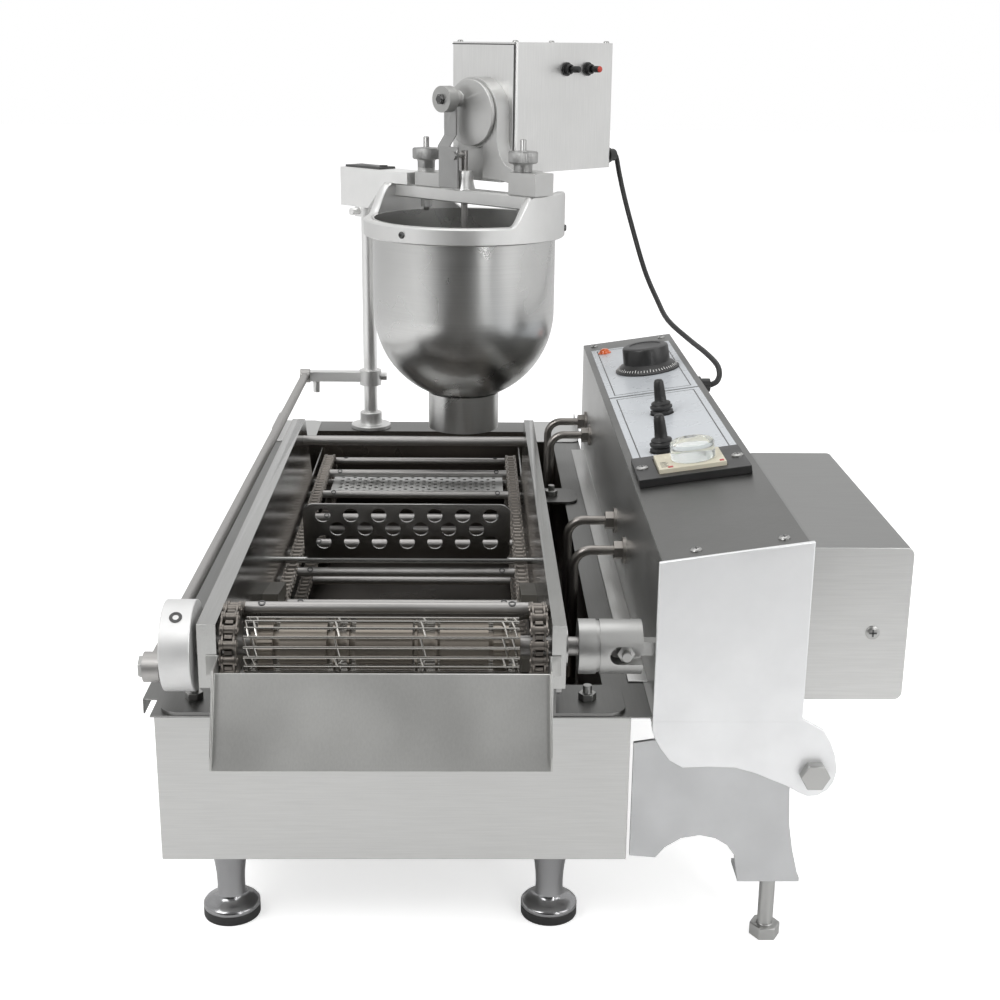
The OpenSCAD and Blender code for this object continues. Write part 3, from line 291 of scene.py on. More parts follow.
# nodes that look different from their slot
NODE_LOOKS = {
    "oil_tank": "sheet_dull",
    "foot_brackets": "sheet_dull",
    "side_plates": "sheet_plate",
    "flipper_plate": "sheet_plate",
    "chute": "sheet_chute",
    "control_case": "sheet_long",
    "control_top": "sheet_top",
    "gearmotor_cover": "sheet_cover_lit",
    "support_plates": "cast_support_shade",
    "post": "post",
    "depositor_box": "sheet_box",
    "arm": "cast_arm",
    "gear_housing": "cast_housing",
    "depositor_crank": "cast_housing",
    "coupling": "cast_dull",
    "crank_disc": "cast_soft",
    "plunger_strip": "strap",
}


# pieces

def add_piece(name, mesh, body, look, replaced=()):
    piece = bpy.data.objects.new(name, mesh)
    bpy.context.collection.objects.link(piece)
    mesh.materials.clear()
    mesh.materials.append(LOOKS[look])
    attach(piece, body)
    if replaced:
        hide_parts(*replaced)
    return piece


# frames and shapes that several pieces share

# the control box's sloped top, the depositor's post and the depositor's own measures
TOP_LEFT, TOP_Z, TOP_SLOPE, SHEET = 226, 362, math.atan2(18, 122), 1.5
POST_X, POST_Y, POST_TURN = -82, 1010, math.radians(-45)
REACH, CRANK_Z, BOX_LOW, BOX_HIGH, BOX_SIDE = 195, 686, 608, 776, 250


# the sloped panel: Z off its face
def on_top(x, y):
    z = TOP_Z + (x - TOP_LEFT) * math.tan(TOP_SLOPE)
    lift = Matrix.Translation((0, 0, SHEET * MM))
    return Matrix.Translation(at(x, y, z)) @ Matrix.Rotation(-TOP_SLOPE, 4, "Y") @ lift


# the depositor: X from the post to the hopper, Y to its box
def on_depositor(x, y, z):
    turned = Matrix.Translation(at(POST_X, POST_Y, 0)) @ Matrix.Rotation(POST_TURN, 4, "Z")
    return turned @ Matrix.Translation(Vector((x, y, z)) * MM)


FACING_X = Matrix.Rotation(math.radians(90), 4, "Y")
FACING_FRONT = Matrix.Rotation(math.radians(90), 4, "X")
# an outline's (x, y) laid on (Y, Z) and pushed along X
SIDE_ON = Matrix(((0, 0, 1, 0), (1, 0, 0, 0), (0, 1, 0, 0), (0, 0, 0, 1)))
# degrees from which an edge is kept sharp
SHARP = 35


# a round form from (radius, height) steps; a third value cuts flutes that deep
def revolve(work, place, profile, sides=48, flutes=0):
    rings = []
    for radius, height, *cut in profile:
        ring = []
        for k in range(sides if radius else 1):
            angle = 2 * math.pi * k / sides
            r = radius - (cut[0] * (0.5 - 0.5 * math.cos(flutes * angle)) if cut else 0)
            point = Vector((r * math.cos(angle), r * math.sin(angle), height)) * MM
            ring.append(work.verts.new(place @ point))
        rings.append(ring)
    for low, high in zip(rings, rings[1:]):
        for k in range(sides):
            n = (k + 1) % sides
            if len(low) == 1:
                work.faces.new((low[0], high[n], high[k]))
            elif len(high) == 1:
                work.faces.new((low[k], low[n], high[0]))
            else:
                work.faces.new((low[k], low[n], high[n], high[k]))


# a flat outline in (x, y), pushed up from z0 to z1
def extrude(work, place, outline, z0, z1):
    low = [work.verts.new(place @ (Vector((x, y, z0)) * MM)) for x, y in outline]
    high = [work.verts.new(place @ (Vector((x, y, z1)) * MM)) for x, y in outline]
    work.faces.new(low[::-1])
    work.faces.new(high)
    for k in range(len(outline)):
        n = (k + 1) % len(outline)
        work.faces.new((low[k], low[n], high[n], high[k]))


def slab(work, place, x0, x1, y0, y1, z0, z1):
    extrude(work, place, [(x0, y0), (x1, y0), (x1, y1), (x0, y1)], z0, z1)


# a round bar from one point to another, both in metres
def bar(work, start, end, radius, sides=10):
    along = end - start
    place = Matrix.Translation(start) @ along.to_track_quat("Z", "Y").to_matrix().to_4x4()
    length = along.length / MM
    revolve(work, place, [(0, 0), (radius, 0), (radius, length), (0, length)], sides)


# a pan-head screw with a round socket, its seat at the place given
def screw(work, place, radius, height):
    revolve(work, place, [
        (radius, 0), (radius, height * 0.45), (radius * 0.82, height * 0.85),
        (radius * 0.45, height), (radius * 0.42, height * 0.55), (0, height * 0.5)], 20)


def made(work, name, body, look, replaced=(), angle=SHARP):
    bmesh.ops.recalc_face_normals(work, faces=work.faces)
    mesh = bpy.data.meshes.new(name)
    work.to_mesh(mesh)
    work.free()
    mesh.shade_smooth()
    mesh.set_sharp_from_angle(angle=math.radians(angle))
    add_piece(name, mesh, body, look, replaced)


# cord from the depositor's box to the control box

CORD_DIAMETER, CORD_STEPS = 7, 4
# points at each end, measured from where the cord enters each box; the cord is drawn smoothly
# through them
CORD_START = Vector((POST_X + 493.4 * math.sqrt(0.5), POST_Y + 13.4 * math.sqrt(0.5), 624))
CORD_END = Vector((366, 674, 366))
CORD_FROM_START = [
    (0, 0, 0), (5, 5, -3), (10, 6.5, -25), (17, -3.5, -56), (28, -19.5, -97), (45, -54.5, -156),
    (59, -99.5, -191), (69, -149.5, -211)]
CORD_FROM_END = [(-9, 126, 33), (3, 71, 28), (12, 28, 21), (13, 9, 12), (8.5, 1.5, 4), (0, 0, 0)]


# a smooth curve through all the points
def smooth_line(points, steps):
    line = []
    last = len(points) - 1
    for k in range(last):
        a, b, c, d = (points[min(max(k + j, 0), last)] for j in (-1, 0, 1, 2))
        for step in range(steps):
            t = step / steps
            line.append(0.5 * (2 * b + (c - a) * t + (2 * a - 5 * b + 4 * c - d) * t ** 2
                               + (3 * b - a - 3 * c + d) * t ** 3))
    return line + [points[-1]]


def make_cord():
    chosen = [CORD_START + Vector(p) for p in CORD_FROM_START]
    chosen += [CORD_END + Vector(p) for p in CORD_FROM_END]
    line = [at(*p) for p in smooth_line(chosen, CORD_STEPS)]
    data = bpy.data.curves.new("cord_line", "CURVE")
    data.dimensions = "3D"
    data.bevel_depth = CORD_DIAMETER / 2 * MM
    data.bevel_resolution = 5
    data.use_fill_caps = True
    spline = data.splines.new("POLY")
    spline.points.add(len(line) - 1)
    for point, place in zip(spline.points, line):
        point.co = (*place, 1)
    curve = bpy.data.objects.new("cord_line", data)
    bpy.context.collection.objects.link(curve)
    depsgraph = bpy.context.evaluated_depsgraph_get()
    mesh = bpy.data.meshes.new_from_object(curve.evaluated_get(depsgraph))
    bpy.data.objects.remove(curve)
    bpy.data.curves.remove(data)
    mesh.shade_smooth()
    mesh.materials.clear()
    mesh.materials.append(LOOKS["cable"])
    piece = bpy.data.objects.new("cord_look", mesh)
    bpy.context.collection.objects.link(piece)
    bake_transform(piece)
    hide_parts("cord")


make_cord()


# roller chains

# link plates from and to the chain's middle, and the flights' screws from the chain
INNER_PLATE, OUTER_PLATE = (4, 5.5), (5.7, 7.2)
LINK_END_R, LINK_WAIST = 5.2, 3.5
SCREW_IN, SCREW_RISE, SCREW_LEAN = 21.5, 4.2, math.radians(40)
BACK_BEND_LINKS = 3


# pins of the loop in (y, z): down the ramp, along the oil, round the back and home underneath
def chain_pins():
    def ahead(pin, angle):
        return pin + PITCH * Vector((math.cos(angle), math.sin(angle)))

    def wheel(middle, angle):
        return middle + PITCH_R * Vector((math.sin(angle), math.cos(angle)))

    drive = Vector((SHAFT_Y, SHAFT_Z))
    pins = [wheel(drive, STEP)]
    for angle, count in ((-STEP, RAMP_LINKS), (-STEP / 2, 1), (0, FLAT_LINKS)):
        for _ in range(count):
            pins.append(ahead(pins[-1], angle))
    rear = pins[-1] - Vector((0, PITCH_R))
    pins += [wheel(rear, k * STEP) for k in range(1, TEETH // 2 + 1)]
    home = (
        (math.pi, FLAT_LINKS), (math.pi - STEP / 2, BACK_BEND_LINKS), (math.pi - STEP, RAMP_LINKS))
    for angle, count in home:
        for _ in range(count):
            pins.append(ahead(pins[-1], angle))
    pins += [wheel(drive, math.pi + (k + 1) * STEP) for k in range(1, TEETH // 2)]
    return pins


PINS = chain_pins()
LINKS = len(PINS)


# outline of one link plate: two round ends and a waist
def link_outline():
    angles = [math.radians(a) for a in range(60, 301, 30)]
    back = [(LINK_END_R * math.cos(a), LINK_END_R * math.sin(a)) for a in angles]
    front = [(PITCH - x, -y) for x, y in back]
    return back + [(PITCH / 2, -LINK_WAIST)] + front + [(PITCH / 2, LINK_WAIST)]


def make_chains():
    work = bmesh.new()
    outline = link_outline()
    for strand in (CHAIN_LEFT, CHAIN_RIGHT):
        for i, pin in enumerate(PINS):
            away = PINS[(i + 1) % LINKS] - pin
            turn = Matrix.Rotation(math.atan2(away.y, away.x), 4, "X")
            link = Matrix.Translation(at(strand, *pin)) @ turn @ SIDE_ON
            near, far = OUTER_PLATE if i % 2 else INNER_PLATE
            extrude(work, link, outline, near, far)
            extrude(work, link, outline, -far, -near)
            revolve(work, link, [(0, -3.9), (4.2, -3.9), (4.2, 3.9), (0, 3.9)], 12)
            revolve(work, link, [
                (0, -8.2), (1.9, -7.9), (2.2, -7.2), (2.2, 7.2), (1.9, 7.9), (0, 8.2)], 8)
    made(work, "chains_look", "fryer", "chain", ["chains"])


# a dark set screw near both ends of each flight, leaning back along the chain
def make_flight_screws():
    work = bmesh.new()
    for i in range(1, LINKS, FLIGHT_STEP):
        along = PINS[(i + 1) % LINKS] - PINS[i - 1]
        lean = math.atan2(along.y, along.x) + SCREW_LEAN
        place = Matrix.Translation(at(0, *PINS[i])) @ Matrix.Rotation(lean, 4, "X")
        for x in (CHAIN_LEFT + SCREW_IN, CHAIN_RIGHT - SCREW_IN):
            lifted = place @ Matrix.Translation((x * MM, 0, SCREW_RISE * MM))
            revolve(work, lifted, [(3.4, 0), (3.4, 0.9), (1.9, 1.1), (1.7, 0.4), (0, 0.3)], 16)
    made(work, "flight_screws", "fryer", "dark_bolt")


make_chains()
make_flight_screws()


# wire belt over the front roller

ROLLER_R, NOSE_Y, NOSE_Z, NOSE_R, WIRE_R = 22, 80, 262, 6, 1.2
BELT_LEFT, BELT_RIGHT = -124, 107
BELT_LINKS_AT = (-122, -115, -46, 26, 95, 103)
# rows of wire round the roller, along each flat run and round the nose bar
ROLLER_ROWS, RUN_ROWS, NOSE_ROWS = 10, 7, 2
ROLLER_GAP, NOSE_GAP = 0.4, 0.1


# (y, z) of each wire of the closed belt
def belt_rows():
    big, small = ROLLER_R + ROLLER_GAP + WIRE_R, NOSE_R + NOSE_GAP + WIRE_R
    away = Vector((NOSE_Y - SHAFT_Y, NOSE_Z - SHAFT_Z))
    lean = math.atan2(away.y, away.x)
    squeeze = math.asin((big - small) / away.length)
    top = lean + math.pi / 2 - squeeze
    wrap = math.pi + 2 * squeeze

    def arc(y, z, r, angle):
        return Vector((y + r * math.cos(angle), z + r * math.sin(angle)))

    rest = 2 * math.pi - wrap
    rows = [
        arc(SHAFT_Y, SHAFT_Z, big, top + wrap * i / ROLLER_ROWS) for i in range(ROLLER_ROWS + 1)]
    leaving = rows[-1]
    low = arc(NOSE_Y, NOSE_Z, small, top + wrap)
    rows += [leaving.lerp(low, i / RUN_ROWS) for i in range(1, RUN_ROWS)]
    rows += [
        arc(NOSE_Y, NOSE_Z, small, top + wrap + rest * i / NOSE_ROWS) for i in range(NOSE_ROWS + 1)]
    high = rows[-1]
    rows += [high.lerp(rows[0], i / RUN_ROWS) for i in range(1, RUN_ROWS)]
    return rows


def make_belt():
    work = bmesh.new()
    rows = belt_rows()
    for i, row in enumerate(rows):
        bar(work, at(BELT_LEFT, *row), at(BELT_RIGHT, *row), WIRE_R)
        following = rows[(i + 1) % len(rows)]
        for x in BELT_LINKS_AT:
            near = x + 2 * (i % 2) - 1
            bar(work, at(near - 1.2, *row), at(near + 1.2, *following), WIRE_R * 0.9, 8)
    made(work, "wire_belt_look", "fryer", "wire", ["wire_belt"])


make_belt()


# control panel

# places on the sloped top, across and along it
KNOB_AT, KNOB_R, KNOB_MARKS = (294, 732), 30, 60
SWITCHES_AT = {"control_switch_a": (284, 494), "control_switch_b": (266, 338)}
TIMER_AT = (284, 258)
LAMPS_AT = {"lamp_orange": (250, 866), "lamp_green": (311, 350)}
LABELS = ((304, 596), (602, 890))
LABEL_HALF, LABEL_X, LABEL_LIFT = 54, 287, 0.6
PANEL_SCREWS_AT = ((30, 20), (104, 20), (14, 920), (108, 920))
TIMER_SCREW_OUT, TIMER_FRAME = 47, 8
TIMER_TOP = 12
COVER_SCREW_AT = (407, 5, 300)


def make_knob():
    place = on_top(*KNOB_AT)
    work = bmesh.new()
    revolve(work, place, [
        (0, 1.0), (41, 1.0), (41, 2.4), (39.5, 3.2), (34, 8.2), (31.4, 9.6), (KNOB_R, 11),
        (KNOB_R - 0.6, 29), (KNOB_R - 1.6, 31), (KNOB_R - 4, 32), (KNOB_R - 9, 32),
        (KNOB_R - 10, 31), (0, 31)], 96)
    made(work, "thermostat_knob_look", "knob", "black", ["thermostat_knob"])
    marks = bmesh.new()
    skirt = Matrix.Translation((0.0392, 0, 0.0036)) @ Matrix.Rotation(math.atan2(5, 5.5), 4, "Y")
    for k in range(KNOB_MARKS):
        inner_end = -4.2 if k % 5 else -5.4
        turn = Matrix.Rotation(2 * math.pi * k / KNOB_MARKS, 4, "Z")
        slab(marks, place @ turn @ skirt, inner_end, -1.0, -0.35, 0.35, 0, 0.25)
    made(marks, "thermostat_marks", "knob", "mark")


# a sealed toggle: ribbed skirt, rounded finger
def make_boot(node, body):
    work = bmesh.new()
    revolve(work, on_top(*SWITCHES_AT[node]), [
        (0, 6), (10.5, 6), (12.6, 7.2), (12.8, 9.4), (11.0, 10.4), (10.6, 11.4), (11.2, 12.4),
        (10.4, 13.8), (7.6, 14.6), (6.8, 16), (6.5, 22), (6.0, 32), (5.4, 37.4), (4.2, 39.8),
        (2.2, 40.5), (0, 40.6)], 32)
    made(work, node + "_look", body, "boot", [node], 50)


# clear dial cap, printed scale and two red pips on the timer
def make_timer():
    place = on_top(*TIMER_AT)
    dome = bmesh.new()
    stem = place @ Matrix.Translation((0.004, 0, 0))
    revolve(dome, stem, [
        (0, 12.6), (21.6, 12.6), (22, 13), (22, 27.5), (21.2, 29.2), (19.6, 30), (0, 30)], 64)
    made(dome, "timer_dome", "timer_cap", "clear", ["timer_dial"])
    marks = bmesh.new()
    for k in range(5):
        line = -20 + 4 * k
        slab(marks, place, -30, -24 + 2 * (k % 2), line, line + 1.1, TIMER_TOP, TIMER_TOP + 0.12)
    made(marks, "timer_print", "fryer", "black")
    dots = bmesh.new()
    for x0, x1 in ((-24, -19), (27, 31)):
        slab(dots, place, x0, x1, -24, -20, TIMER_TOP, TIMER_TOP + 0.5)
    made(dots, "timer_pips", "fryer", "red_pip")


def make_lamp(node):
    work = bmesh.new()
    revolve(work, on_top(*LAMPS_AT[node]), [
        (0, 0.1), (9, 0.1), (9, 1.6), (8.2, 2.4), (7.2, 2.6), (6.9, 3.6), (5.6, 5.6), (3.2, 6.8),
        (0, 7)], 32)
    made(work, node + "_look", "fryer", node, [node], 50)


# thin printed frame line round each blank plate
def make_borders():
    work = bmesh.new()
    place = on_top(LABEL_X, 0)
    line, printed = 1.2, LABEL_LIFT + 0.12
    outer = LABEL_HALF - 7
    inner = outer - line
    for y0, y1 in LABELS:
        low, high = y0 + 8, y1 - 8
        for x0, x1 in ((-outer, -inner), (inner, outer)):
            slab(work, place, x0, x1, low, high, LABEL_LIFT, printed)
        for base in (low, high - line):
            slab(work, place, -inner, inner, base, base + line, LABEL_LIFT, printed)
    made(work, "label_borders", "fryer", "print")


make_knob()
make_boot("control_switch_a", "panel_switch_a")
make_boot("control_switch_b", "panel_switch_b")
make_timer()
for lamp_node in LAMPS_AT:
    make_lamp(lamp_node)
make_borders()


# pan-head screws with a cross recess on the panel, the timer and the motor cover
def make_panel_screws():
    heads, slots = bmesh.new(), bmesh.new()

    def cross_screw(place, radius, height):
        revolve(heads, place, [
            (0, 0), (radius, 0), (radius, height * 0.35), (radius * 0.86, height * 0.7),
            (radius * 0.5, height * 0.96), (0, height)], 32)
        # painted shade: each cross recess is a thin dark cross laid on the head, not cut into it
        long, short = radius * 0.55, radius * 0.13
        slab(slots, place, -long, long, -short, short, height * 0.9, height + 0.06)
        slab(slots, place, -short, short, -long, long, height * 0.9, height + 0.06)

    on_frame = Matrix.Translation((0, 0, TIMER_FRAME * MM))
    for x in (-TIMER_SCREW_OUT, TIMER_SCREW_OUT):
        cross_screw(on_top(TIMER_AT[0] + x, TIMER_AT[1]) @ on_frame, 6, 2.5)
    for x, y in PANEL_SCREWS_AT:
        cross_screw(on_top(TOP_LEFT + x, y), 5, 2.5)
    cross_screw(Matrix.Translation(at(*COVER_SCREW_AT)) @ FACING_FRONT, 6, 2)
    made(heads, "panel_screws_look", "fryer", "bolt", ["panel_screws"])
    made(slots, "panel_screw_slots", "fryer", "dark_bolt")


# the fold across the front cheek, level with the bottom of the control box
def make_fold():
    work = bmesh.new()
    place = Matrix.Translation(at(0, -4, 0)) @ FACING_FRONT
    slab(work, place, 224, 350, 219.4, 221, -0.1, 0.25)
    made(work, "front_cheek_fold", "fryer", "cast_panel")


make_panel_screws()
make_fold()


# depositor, in its own frame

# each thumb nut's place along the bar and the height of its seat
THUMB_NUTS = ((REACH - 80, 611), (REACH + 101, 616))
CRANK_THROW, CRANK_LEAN = 27, math.radians(50)
SWITCH_DROP = 34
SWITCHES = (("depositor_switch_a", 137, "boot"), ("depositor_switch_b", 180, "boot_red"))
RING_SCREW_ANGLES, RING_SCREW_R, RING_SCREW_Z = (-81, 39, 159), 0.1345, 539
BOX_SCREWS = ((140, 46), (242, 46), (140, 229), (242, 229))
BOX_FRONT, BOX_LEFT = 38, 133


# a stud with a hex head below, and a fluted nut on a collar
def make_thumb_nuts():
    work = bmesh.new()
    for x, seat in THUMB_NUTS:
        place = on_depositor(x, 6, 0)
        revolve(work, place, [(0, 553), (3.2, 553), (4, 554.2), (4, seat)], 24)
        revolve(work, place, [(0, 558), (8, 558), (8, 570), (0, 570)], 6)
        revolve(work, place @ Matrix.Translation((0, 0, seat * MM)), [
            (4, 0), (11.4, 0), (12, 0.6), (12, 8), (13, 10.4), (17.4, 11), (19, 12.6, 0.6),
            (19, 24.4, 0.6), (17.6, 26), (7, 26), (6, 26.8), (4.4, 26.8), (4, 27.4), (4, 39.8),
            (3.2, 41), (0, 41)], 180, 60)
    made(work, "thumb_nuts_look", "depositor", "strap", ["thumb_nuts"])


# dark lock nut on the face of the plunger's knob
def make_plunger_nut():
    x = REACH - CRANK_THROW * math.sin(CRANK_LEAN)
    z = CRANK_Z + CRANK_THROW * math.cos(CRANK_LEAN)
    work = bmesh.new()
    revolve(work, on_depositor(x, -23, z) @ FACING_FRONT, [
        (0, 0), (7.2, 0), (7.2, 3.2), (6.4, 3.8), (5.2, 3.8), (5.2, 5.2), (0, 5.4)], 6)
    made(work, "plunger_nut", "plunger", "dark_bolt")


# toggle levers on the side of the depositor's box, one with a red tip
def make_depositor_switches():
    for node, y, tip in SWITCHES:
        place = on_depositor(BOX_SIDE, y, BOX_HIGH - SWITCH_DROP) @ FACING_X
        body = "dep_switch_" + node[-1]
        lever = bmesh.new()
        revolve(lever, place, [
            (0, 2.2), (2.4, 2.2), (3.3, 4.2), (2.8, 6), (2.8, 9.6), (4.1, 11), (4.4, 16),
            (4.3, 22.8), (0, 23)], 28)
        made(lever, node + "_look", body, "boot", [node], 50)
        cap = bmesh.new()
        revolve(cap, place, [(0, 22.8), (4.2, 22.8), (4.0, 24), (2.8, 25.2), (0, 25.6)], 28)
        made(cap, node + "_tip", body, tip, (), 50)


# screws round the hopper ring and on top of the depositor's box
def make_screws():
    ring = bmesh.new()
    outwards = Matrix.Translation((RING_SCREW_R, 0, 0)) @ FACING_X
    for angle in RING_SCREW_ANGLES:
        turn = Matrix.Rotation(math.radians(angle), 4, "Z")
        screw(ring, on_depositor(REACH, 0, RING_SCREW_Z) @ turn @ outwards, 4.5, 3)
    made(ring, "hopper_ring_screws", "depositor", "dark_bolt")
    shell = bmesh.new()
    for x, y in BOX_SCREWS:
        screw(shell, on_depositor(x, y, BOX_HIGH), 4, 2.6)
    made(shell, "depositor_box_screws", "depositor", "bolt")


# dark seam where the wrapped cover of the depositor's box meets its front
def make_seam():
    work = bmesh.new()
    place = on_depositor(0, BOX_FRONT, 0) @ FACING_FRONT
    corner, edge, top = BOX_SIDE - 3.2, BOX_SIDE - 1.4, BOX_HIGH - 2
    slab(work, place, corner, edge, BOX_LOW + 6, top, 0, 0.15)
    slab(work, place, BOX_LEFT, corner, BOX_HIGH - 3.4, top, 0, 0.15)
    made(work, "depositor_box_seam", "depositor", "print")


make_thumb_nuts()
make_plunger_nut()
make_depositor_switches()
make_screws()
make_seam()


# hopper ring: low at the front, raised where the bar lands on it, with the bar and its boss

RING_R, RING_WALL, RING_LOW, RING_HIGH, BAR_HIGH = 135, 12, 528, 550, 588
RING_SIDES = 180
# degrees where each raised part starts, is full, stops being full and ends
RAISED = ((-18, -4, 34, 62), (134, 158, 190, 212))


# height of the ring's top edge, with eased slopes
def ring_top(angle):
    top = RING_HIGH
    for start, full, leave, end in RAISED:
        share = min((angle - start) / (full - start), (end - angle) / (end - leave), 1)
        if share > 0:
            top = RING_HIGH + (BAR_HIGH - RING_HIGH) * share * share * (3 - 2 * share)
    return top


def make_hopper_ring():
    work = bmesh.new()
    axis = on_depositor(REACH, 0, 0)
    inner = RING_R - RING_WALL
    rings = []
    for k in range(RING_SIDES):
        degrees = 360 * k / RING_SIDES
        top = max(ring_top(degrees), ring_top(degrees - 360))
        place = axis @ Matrix.Rotation(math.radians(degrees), 4, "Z")
        section = [
            (inner, RING_LOW), (RING_R - 1.5, RING_LOW), (RING_R, RING_LOW + 1.5),
            (RING_R, top - 2), (RING_R - 2, top), (inner + 2, top), (inner, top - 2)]
        rings.append([work.verts.new(place @ (Vector((r, 0, z)) * MM)) for r, z in section])
    for k, ring in enumerate(rings):
        following = rings[(k + 1) % RING_SIDES]
        for j in range(len(ring)):
            n = (j + 1) % len(ring)
            work.faces.new((ring[j], following[j], following[n], ring[n]))
    bar_end = RING_R - 4
    extrude(work, axis @ SIDE_ON, [
        (-13, 571.5), (-11.5, 570), (11.5, 570), (13, 571.5), (13, BAR_HIGH - 2), (11, BAR_HIGH),
        (-11, BAR_HIGH), (-13, BAR_HIGH - 2)], -bar_end, bar_end)
    revolve(work, axis, [
        (0, 587), (14.8, 587), (14, 590), (12.8, 595), (11.4, 602), (11, 610.6), (10, 612),
        (0, 612)], 48)
    made(work, "hopper_ring_look", "depositor", "cast", ["hopper_ring"], 40)


make_hopper_ring()


# dark countersunk screw on the rim of the crank disc
def make_disc_screw():
    low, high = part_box("crank_disc")
    middle = (low + high) / 2
    place = Matrix.Translation(middle) @ Matrix.Rotation(math.radians(32), 4, "X")
    rim = (high.z - low.z) / 2 / MM
    work = bmesh.new()
    revolve(work, place, [
        (5.4, rim - 0.6), (5.4, rim + 0.35), (4.6, rim + 0.4), (4.2, rim + 0.1), (2.6, rim + 0.1),
        (2.2, rim - 0.8), (0, rim - 0.8)], 24)
    made(work, "crank_disc_screw", BODY_OF["crank_disc"], "dark_bolt")


make_disc_screw()


# tank feet: a bell on a rubber ring

FEET_AT = ((-154, 55), (-154, 985), (140, 55), (140, 985))


def make_feet():
    work = bmesh.new()
    for x, y in FEET_AT:
        revolve(work, Matrix.Translation(at(x, y, 0)), [
            (0, 9), (25.6, 9), (26, 9.6), (26, 12), (24.6, 13.8), (20.4, 16.2), (16.2, 18.4),
            (13.6, 20.6), (12.7, 23), (12.6, 34), (13, 43), (14.2, 53), (16.2, 63), (18.8, 71),
            (20, 75), (20, 86), (0, 86)], 64)
    made(work, "feet_look", "fryer", "feet", ["feet"], 50)


make_feet()


# solids that keep their shape

FLAT, EDGE_SEGMENTS = math.radians(0.5), 2


# a node's own shape with its flat faces joined and its edges rounded off
def softened(node, width):
    work = bmesh.new()
    work.from_mesh(NODES[node].data)
    bmesh.ops.remove_doubles(work, verts=work.verts, dist=1e-6)
    bmesh.ops.dissolve_limit(work, angle_limit=FLAT, verts=work.verts, edges=work.edges)
    mesh = bpy.data.meshes.new(node + "_look")
    work.to_mesh(mesh)
    work.free()
    slot_name = SLOT_OF[node]
    look = NODE_LOOKS.get(node, slot_name)
    piece = add_piece(node + "_look", mesh, BODY_OF[node], look, [node])
    edge = piece.modifiers.new("edges", "BEVEL")
    edge.width = width * MM
    edge.segments = EDGE_SEGMENTS
    edge.limit_method = "ANGLE"
    edge.angle_limit = math.radians(SHARP)
    edge.use_clamp_overlap = True
    mesh.shade_smooth()
    mesh.set_sharp_from_angle(angle=math.radians(SHARP))


# width of the rounded edges
EDGES = {
    "casing": 1.5, "oil_tank": 0.5, "control_case": 1.2, "gearmotor_cover": 1.2,
    "depositor_box": 1.0, "chute": 0.4, "side_plates": 0.5, "foot_brackets": 0.6,
    "rear_corner_plates": 0.5, "front_cheek": 1.2, "support_plates": 1.2, "arm": 2.5,
    "lever": 1.5, "gear_housing": 2.0, "crank_disc": 1.5, "coupling": 1.2, "link_rod": 1.0,
    "support_bolts": 0.8, "frame_bolts": 0.6, "foot_pads": 1.0, "post_base": 1.0,
    "plunger_strip": 0.6, "depositor_crank": 1.0, "crank_pin": 0.6, "panel_fittings": 0.8,
    "timer_relay": 1.0, "shaft_bearings": 0.8,
}
for node_name, edge_width in EDGES.items():
    softened(node_name, edge_width)


# faces of one piece that have another look than the rest
def painted(name, look, chosen):
    mesh = bpy.data.objects[name].data
    mesh.materials.append(LOOKS[look])
    for face in mesh.polygons:
        if chosen(face.center):
            face.material_index = 1


# the pan's inside half width, and the heights over which the arm's lid and the cover's top begin
PAN_HALF, PAN_LIP, ARM_LID, COVER_TOP = 190, 4, 604.5, RIM + 149
STRIP_FACE = -6.5


# painted shade: the pan's inside below the rim is darkened to a near-black brown
def in_pan(middle):
    return middle.z < (RIM - PAN_LIP) * MM and abs(middle.x - BASE.x) < PAN_HALF * MM


# the knob stands in front of the plunger's strip
def on_knob(middle):
    place = on_depositor(0, 0, 0).inverted() @ middle / MM
    return place.y < STRIP_FACE and place.z > CRANK_Z


painted("oil_tank_look", "sheet_inside", in_pan)
painted("plunger_strip_look", "cast_dull", on_knob)
painted("arm_look", "dark_bolt", lambda middle: middle.z > ARM_LID * MM)
# painted shade: the cover's top faces take the darker copy of its sheet
painted("gearmotor_cover_look", "cover_top_shade", lambda middle: middle.z > COVER_TOP * MM)
for node_name, node_object in NODES.items():
    node_object.data.materials.clear()
    slot_name = SLOT_OF[node_name]
    node_object.data.materials.append(LOOKS[NODE_LOOKS.get(node_name, slot_name)])


# floor, light and background

FLOOR_SIZE, FLOOR_AT, FLOOR_GLOW = 14, (0, 5.55, 0), 0.55
WORLD_STRENGTH = 0.8


# a pale floor, lifted towards white where the camera sees it
def make_stage():
    bpy.ops.mesh.primitive_plane_add(size=FLOOR_SIZE, location=FLOOR_AT)
    floor = bpy.context.object
    floor.name = "floor"
    material, tree, shader = new_material("pale_floor")
    shader.inputs["Base Color"].default_value = (0.9, 0.9, 0.9, 1)
    shader.inputs["Roughness"].default_value = 0.7
    path = tree.nodes.new("ShaderNodeLightPath")
    glow = tree.nodes.new("ShaderNodeEmission")
    glow.inputs["Color"].default_value = (1, 1, 1, 1)
    glow.inputs["Strength"].default_value = FLOOR_GLOW
    both = tree.nodes.new("ShaderNodeAddShader")
    choose = tree.nodes.new("ShaderNodeMixShader")
    out = tree.nodes["Material Output"]
    tree.links.new(shader.outputs["BSDF"], both.inputs[0])
    tree.links.new(glow.outputs["Emission"], both.inputs[1])
    tree.links.new(path.outputs["Is Camera Ray"], choose.inputs["Fac"])
    tree.links.new(shader.outputs["BSDF"], choose.inputs[1])
    tree.links.new(both.outputs["Shader"], choose.inputs[2])
    tree.links.new(choose.outputs["Shader"], out.inputs["Surface"])
    floor.data.materials.append(material)


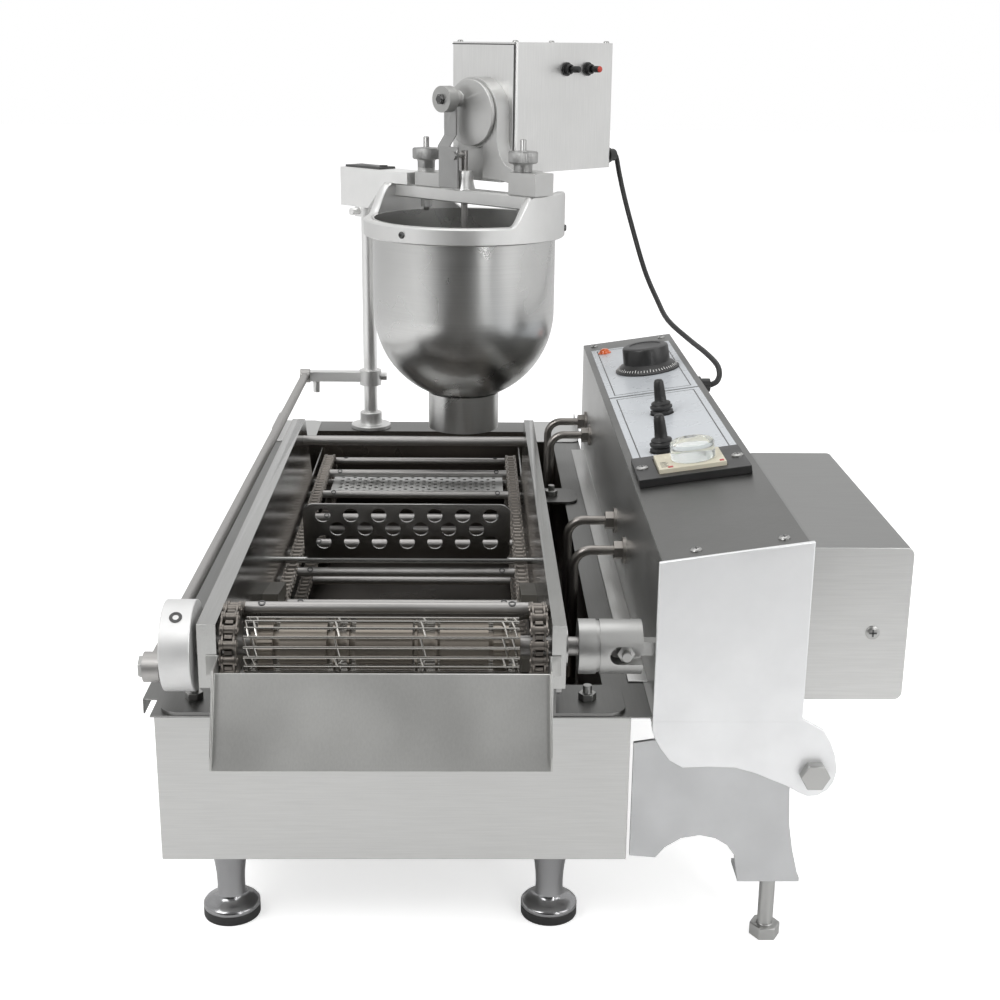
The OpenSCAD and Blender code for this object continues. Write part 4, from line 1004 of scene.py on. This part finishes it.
# white as the camera sees it; for light, a bright backdrop and sides with a dim room in front
def make_world():
    world = bpy.data.worlds.new("studio")
    bpy.context.scene.world = world
    world.use_nodes = True
    tree = world.node_tree
    way = tree.nodes.new("ShaderNodeTexCoord")
    parts = tree.nodes.new("ShaderNodeSeparateXYZ")
    tree.links.new(way.outputs["Generated"], parts.inputs["Vector"])

    def calculated(source, operation, factor=0.0, extra=0.0):
        node = tree.nodes.new("ShaderNodeMath")
        node.operation = operation
        tree.links.new(source, node.inputs[0])
        node.inputs[1].default_value = factor
        node.inputs[2].default_value = extra
        return node.outputs["Value"]

    def joined(blend, first, second):
        node = tree.nodes.new("ShaderNodeMix")
        node.data_type = "RGBA"
        node.blend_type = blend
        node.inputs["Factor"].default_value = 1.0
        tree.links.new(first, node.inputs[6])
        tree.links.new(second, node.inputs[7])
        return node.outputs[2]

    back = calculated(parts.outputs["Y"], "MULTIPLY_ADD", 0.5, 0.5)
    backdrop = ramp(tree, back, [(0.0, 0.08), (0.3, 0.14), (0.52, 0.55), (0.72, 1.0)])
    across = calculated(parts.outputs["X"], "ABSOLUTE")
    sides = ramp(tree, across, [(0.5, 0.0), (0.72, 0.72), (0.92, 1.05)])
    above = ramp(tree, parts.outputs["Z"], [(0.35, 0.0), (0.6, 0.13), (0.9, 0.3)])
    light = tree.nodes["Background"]
    tree.links.new(joined("ADD", joined("LIGHTEN", backdrop, sides), above), light.inputs["Color"])
    light.inputs["Strength"].default_value = WORLD_STRENGTH
    seen = tree.nodes.new("ShaderNodeBackground")
    seen.inputs["Color"].default_value = (1, 1, 1, 1)
    path = tree.nodes.new("ShaderNodeLightPath")
    choose = tree.nodes.new("ShaderNodeMixShader")
    tree.links.new(path.outputs["Is Camera Ray"], choose.inputs["Fac"])
    tree.links.new(light.outputs["Background"], choose.inputs[1])
    tree.links.new(seen.outputs["Background"], choose.inputs[2])
    tree.links.new(choose.outputs["Shader"], tree.nodes["World Output"].inputs["Surface"])


# an area light, size in metres and power in watts
def soft_light(name, place, target, size, power):
    data = bpy.data.lights.new(name, "AREA")
    data.shape = "RECTANGLE"
    data.size, data.size_y = size
    data.energy = power
    lamp = bpy.data.objects.new(name, data)
    bpy.context.collection.objects.link(lamp)
    lamp.location = place
    lamp.rotation_euler = (Vector(target) - Vector(place)).to_track_quat("-Z", "Y").to_euler()


make_stage()
make_world()
soft_light("key", (-1.6, -1.6, 2.2), (0, 0, 0.3), (1.4, 1.4), 38)
soft_light("fill", (2.0, -1.2, 1.6), (0, 0, 0.3), (1.2, 1.6), 16)
soft_light("top", (0, 0.4, 2.6), (0, 0.1, 0.3), (1.6, 1.6), 9)
soft_light("strip", (1.0, -1.9, 1.1), (0, 0.3, 0.5), (0.2, 1.7), 8)
bpy.context.scene.view_settings.view_transform = "Standard"
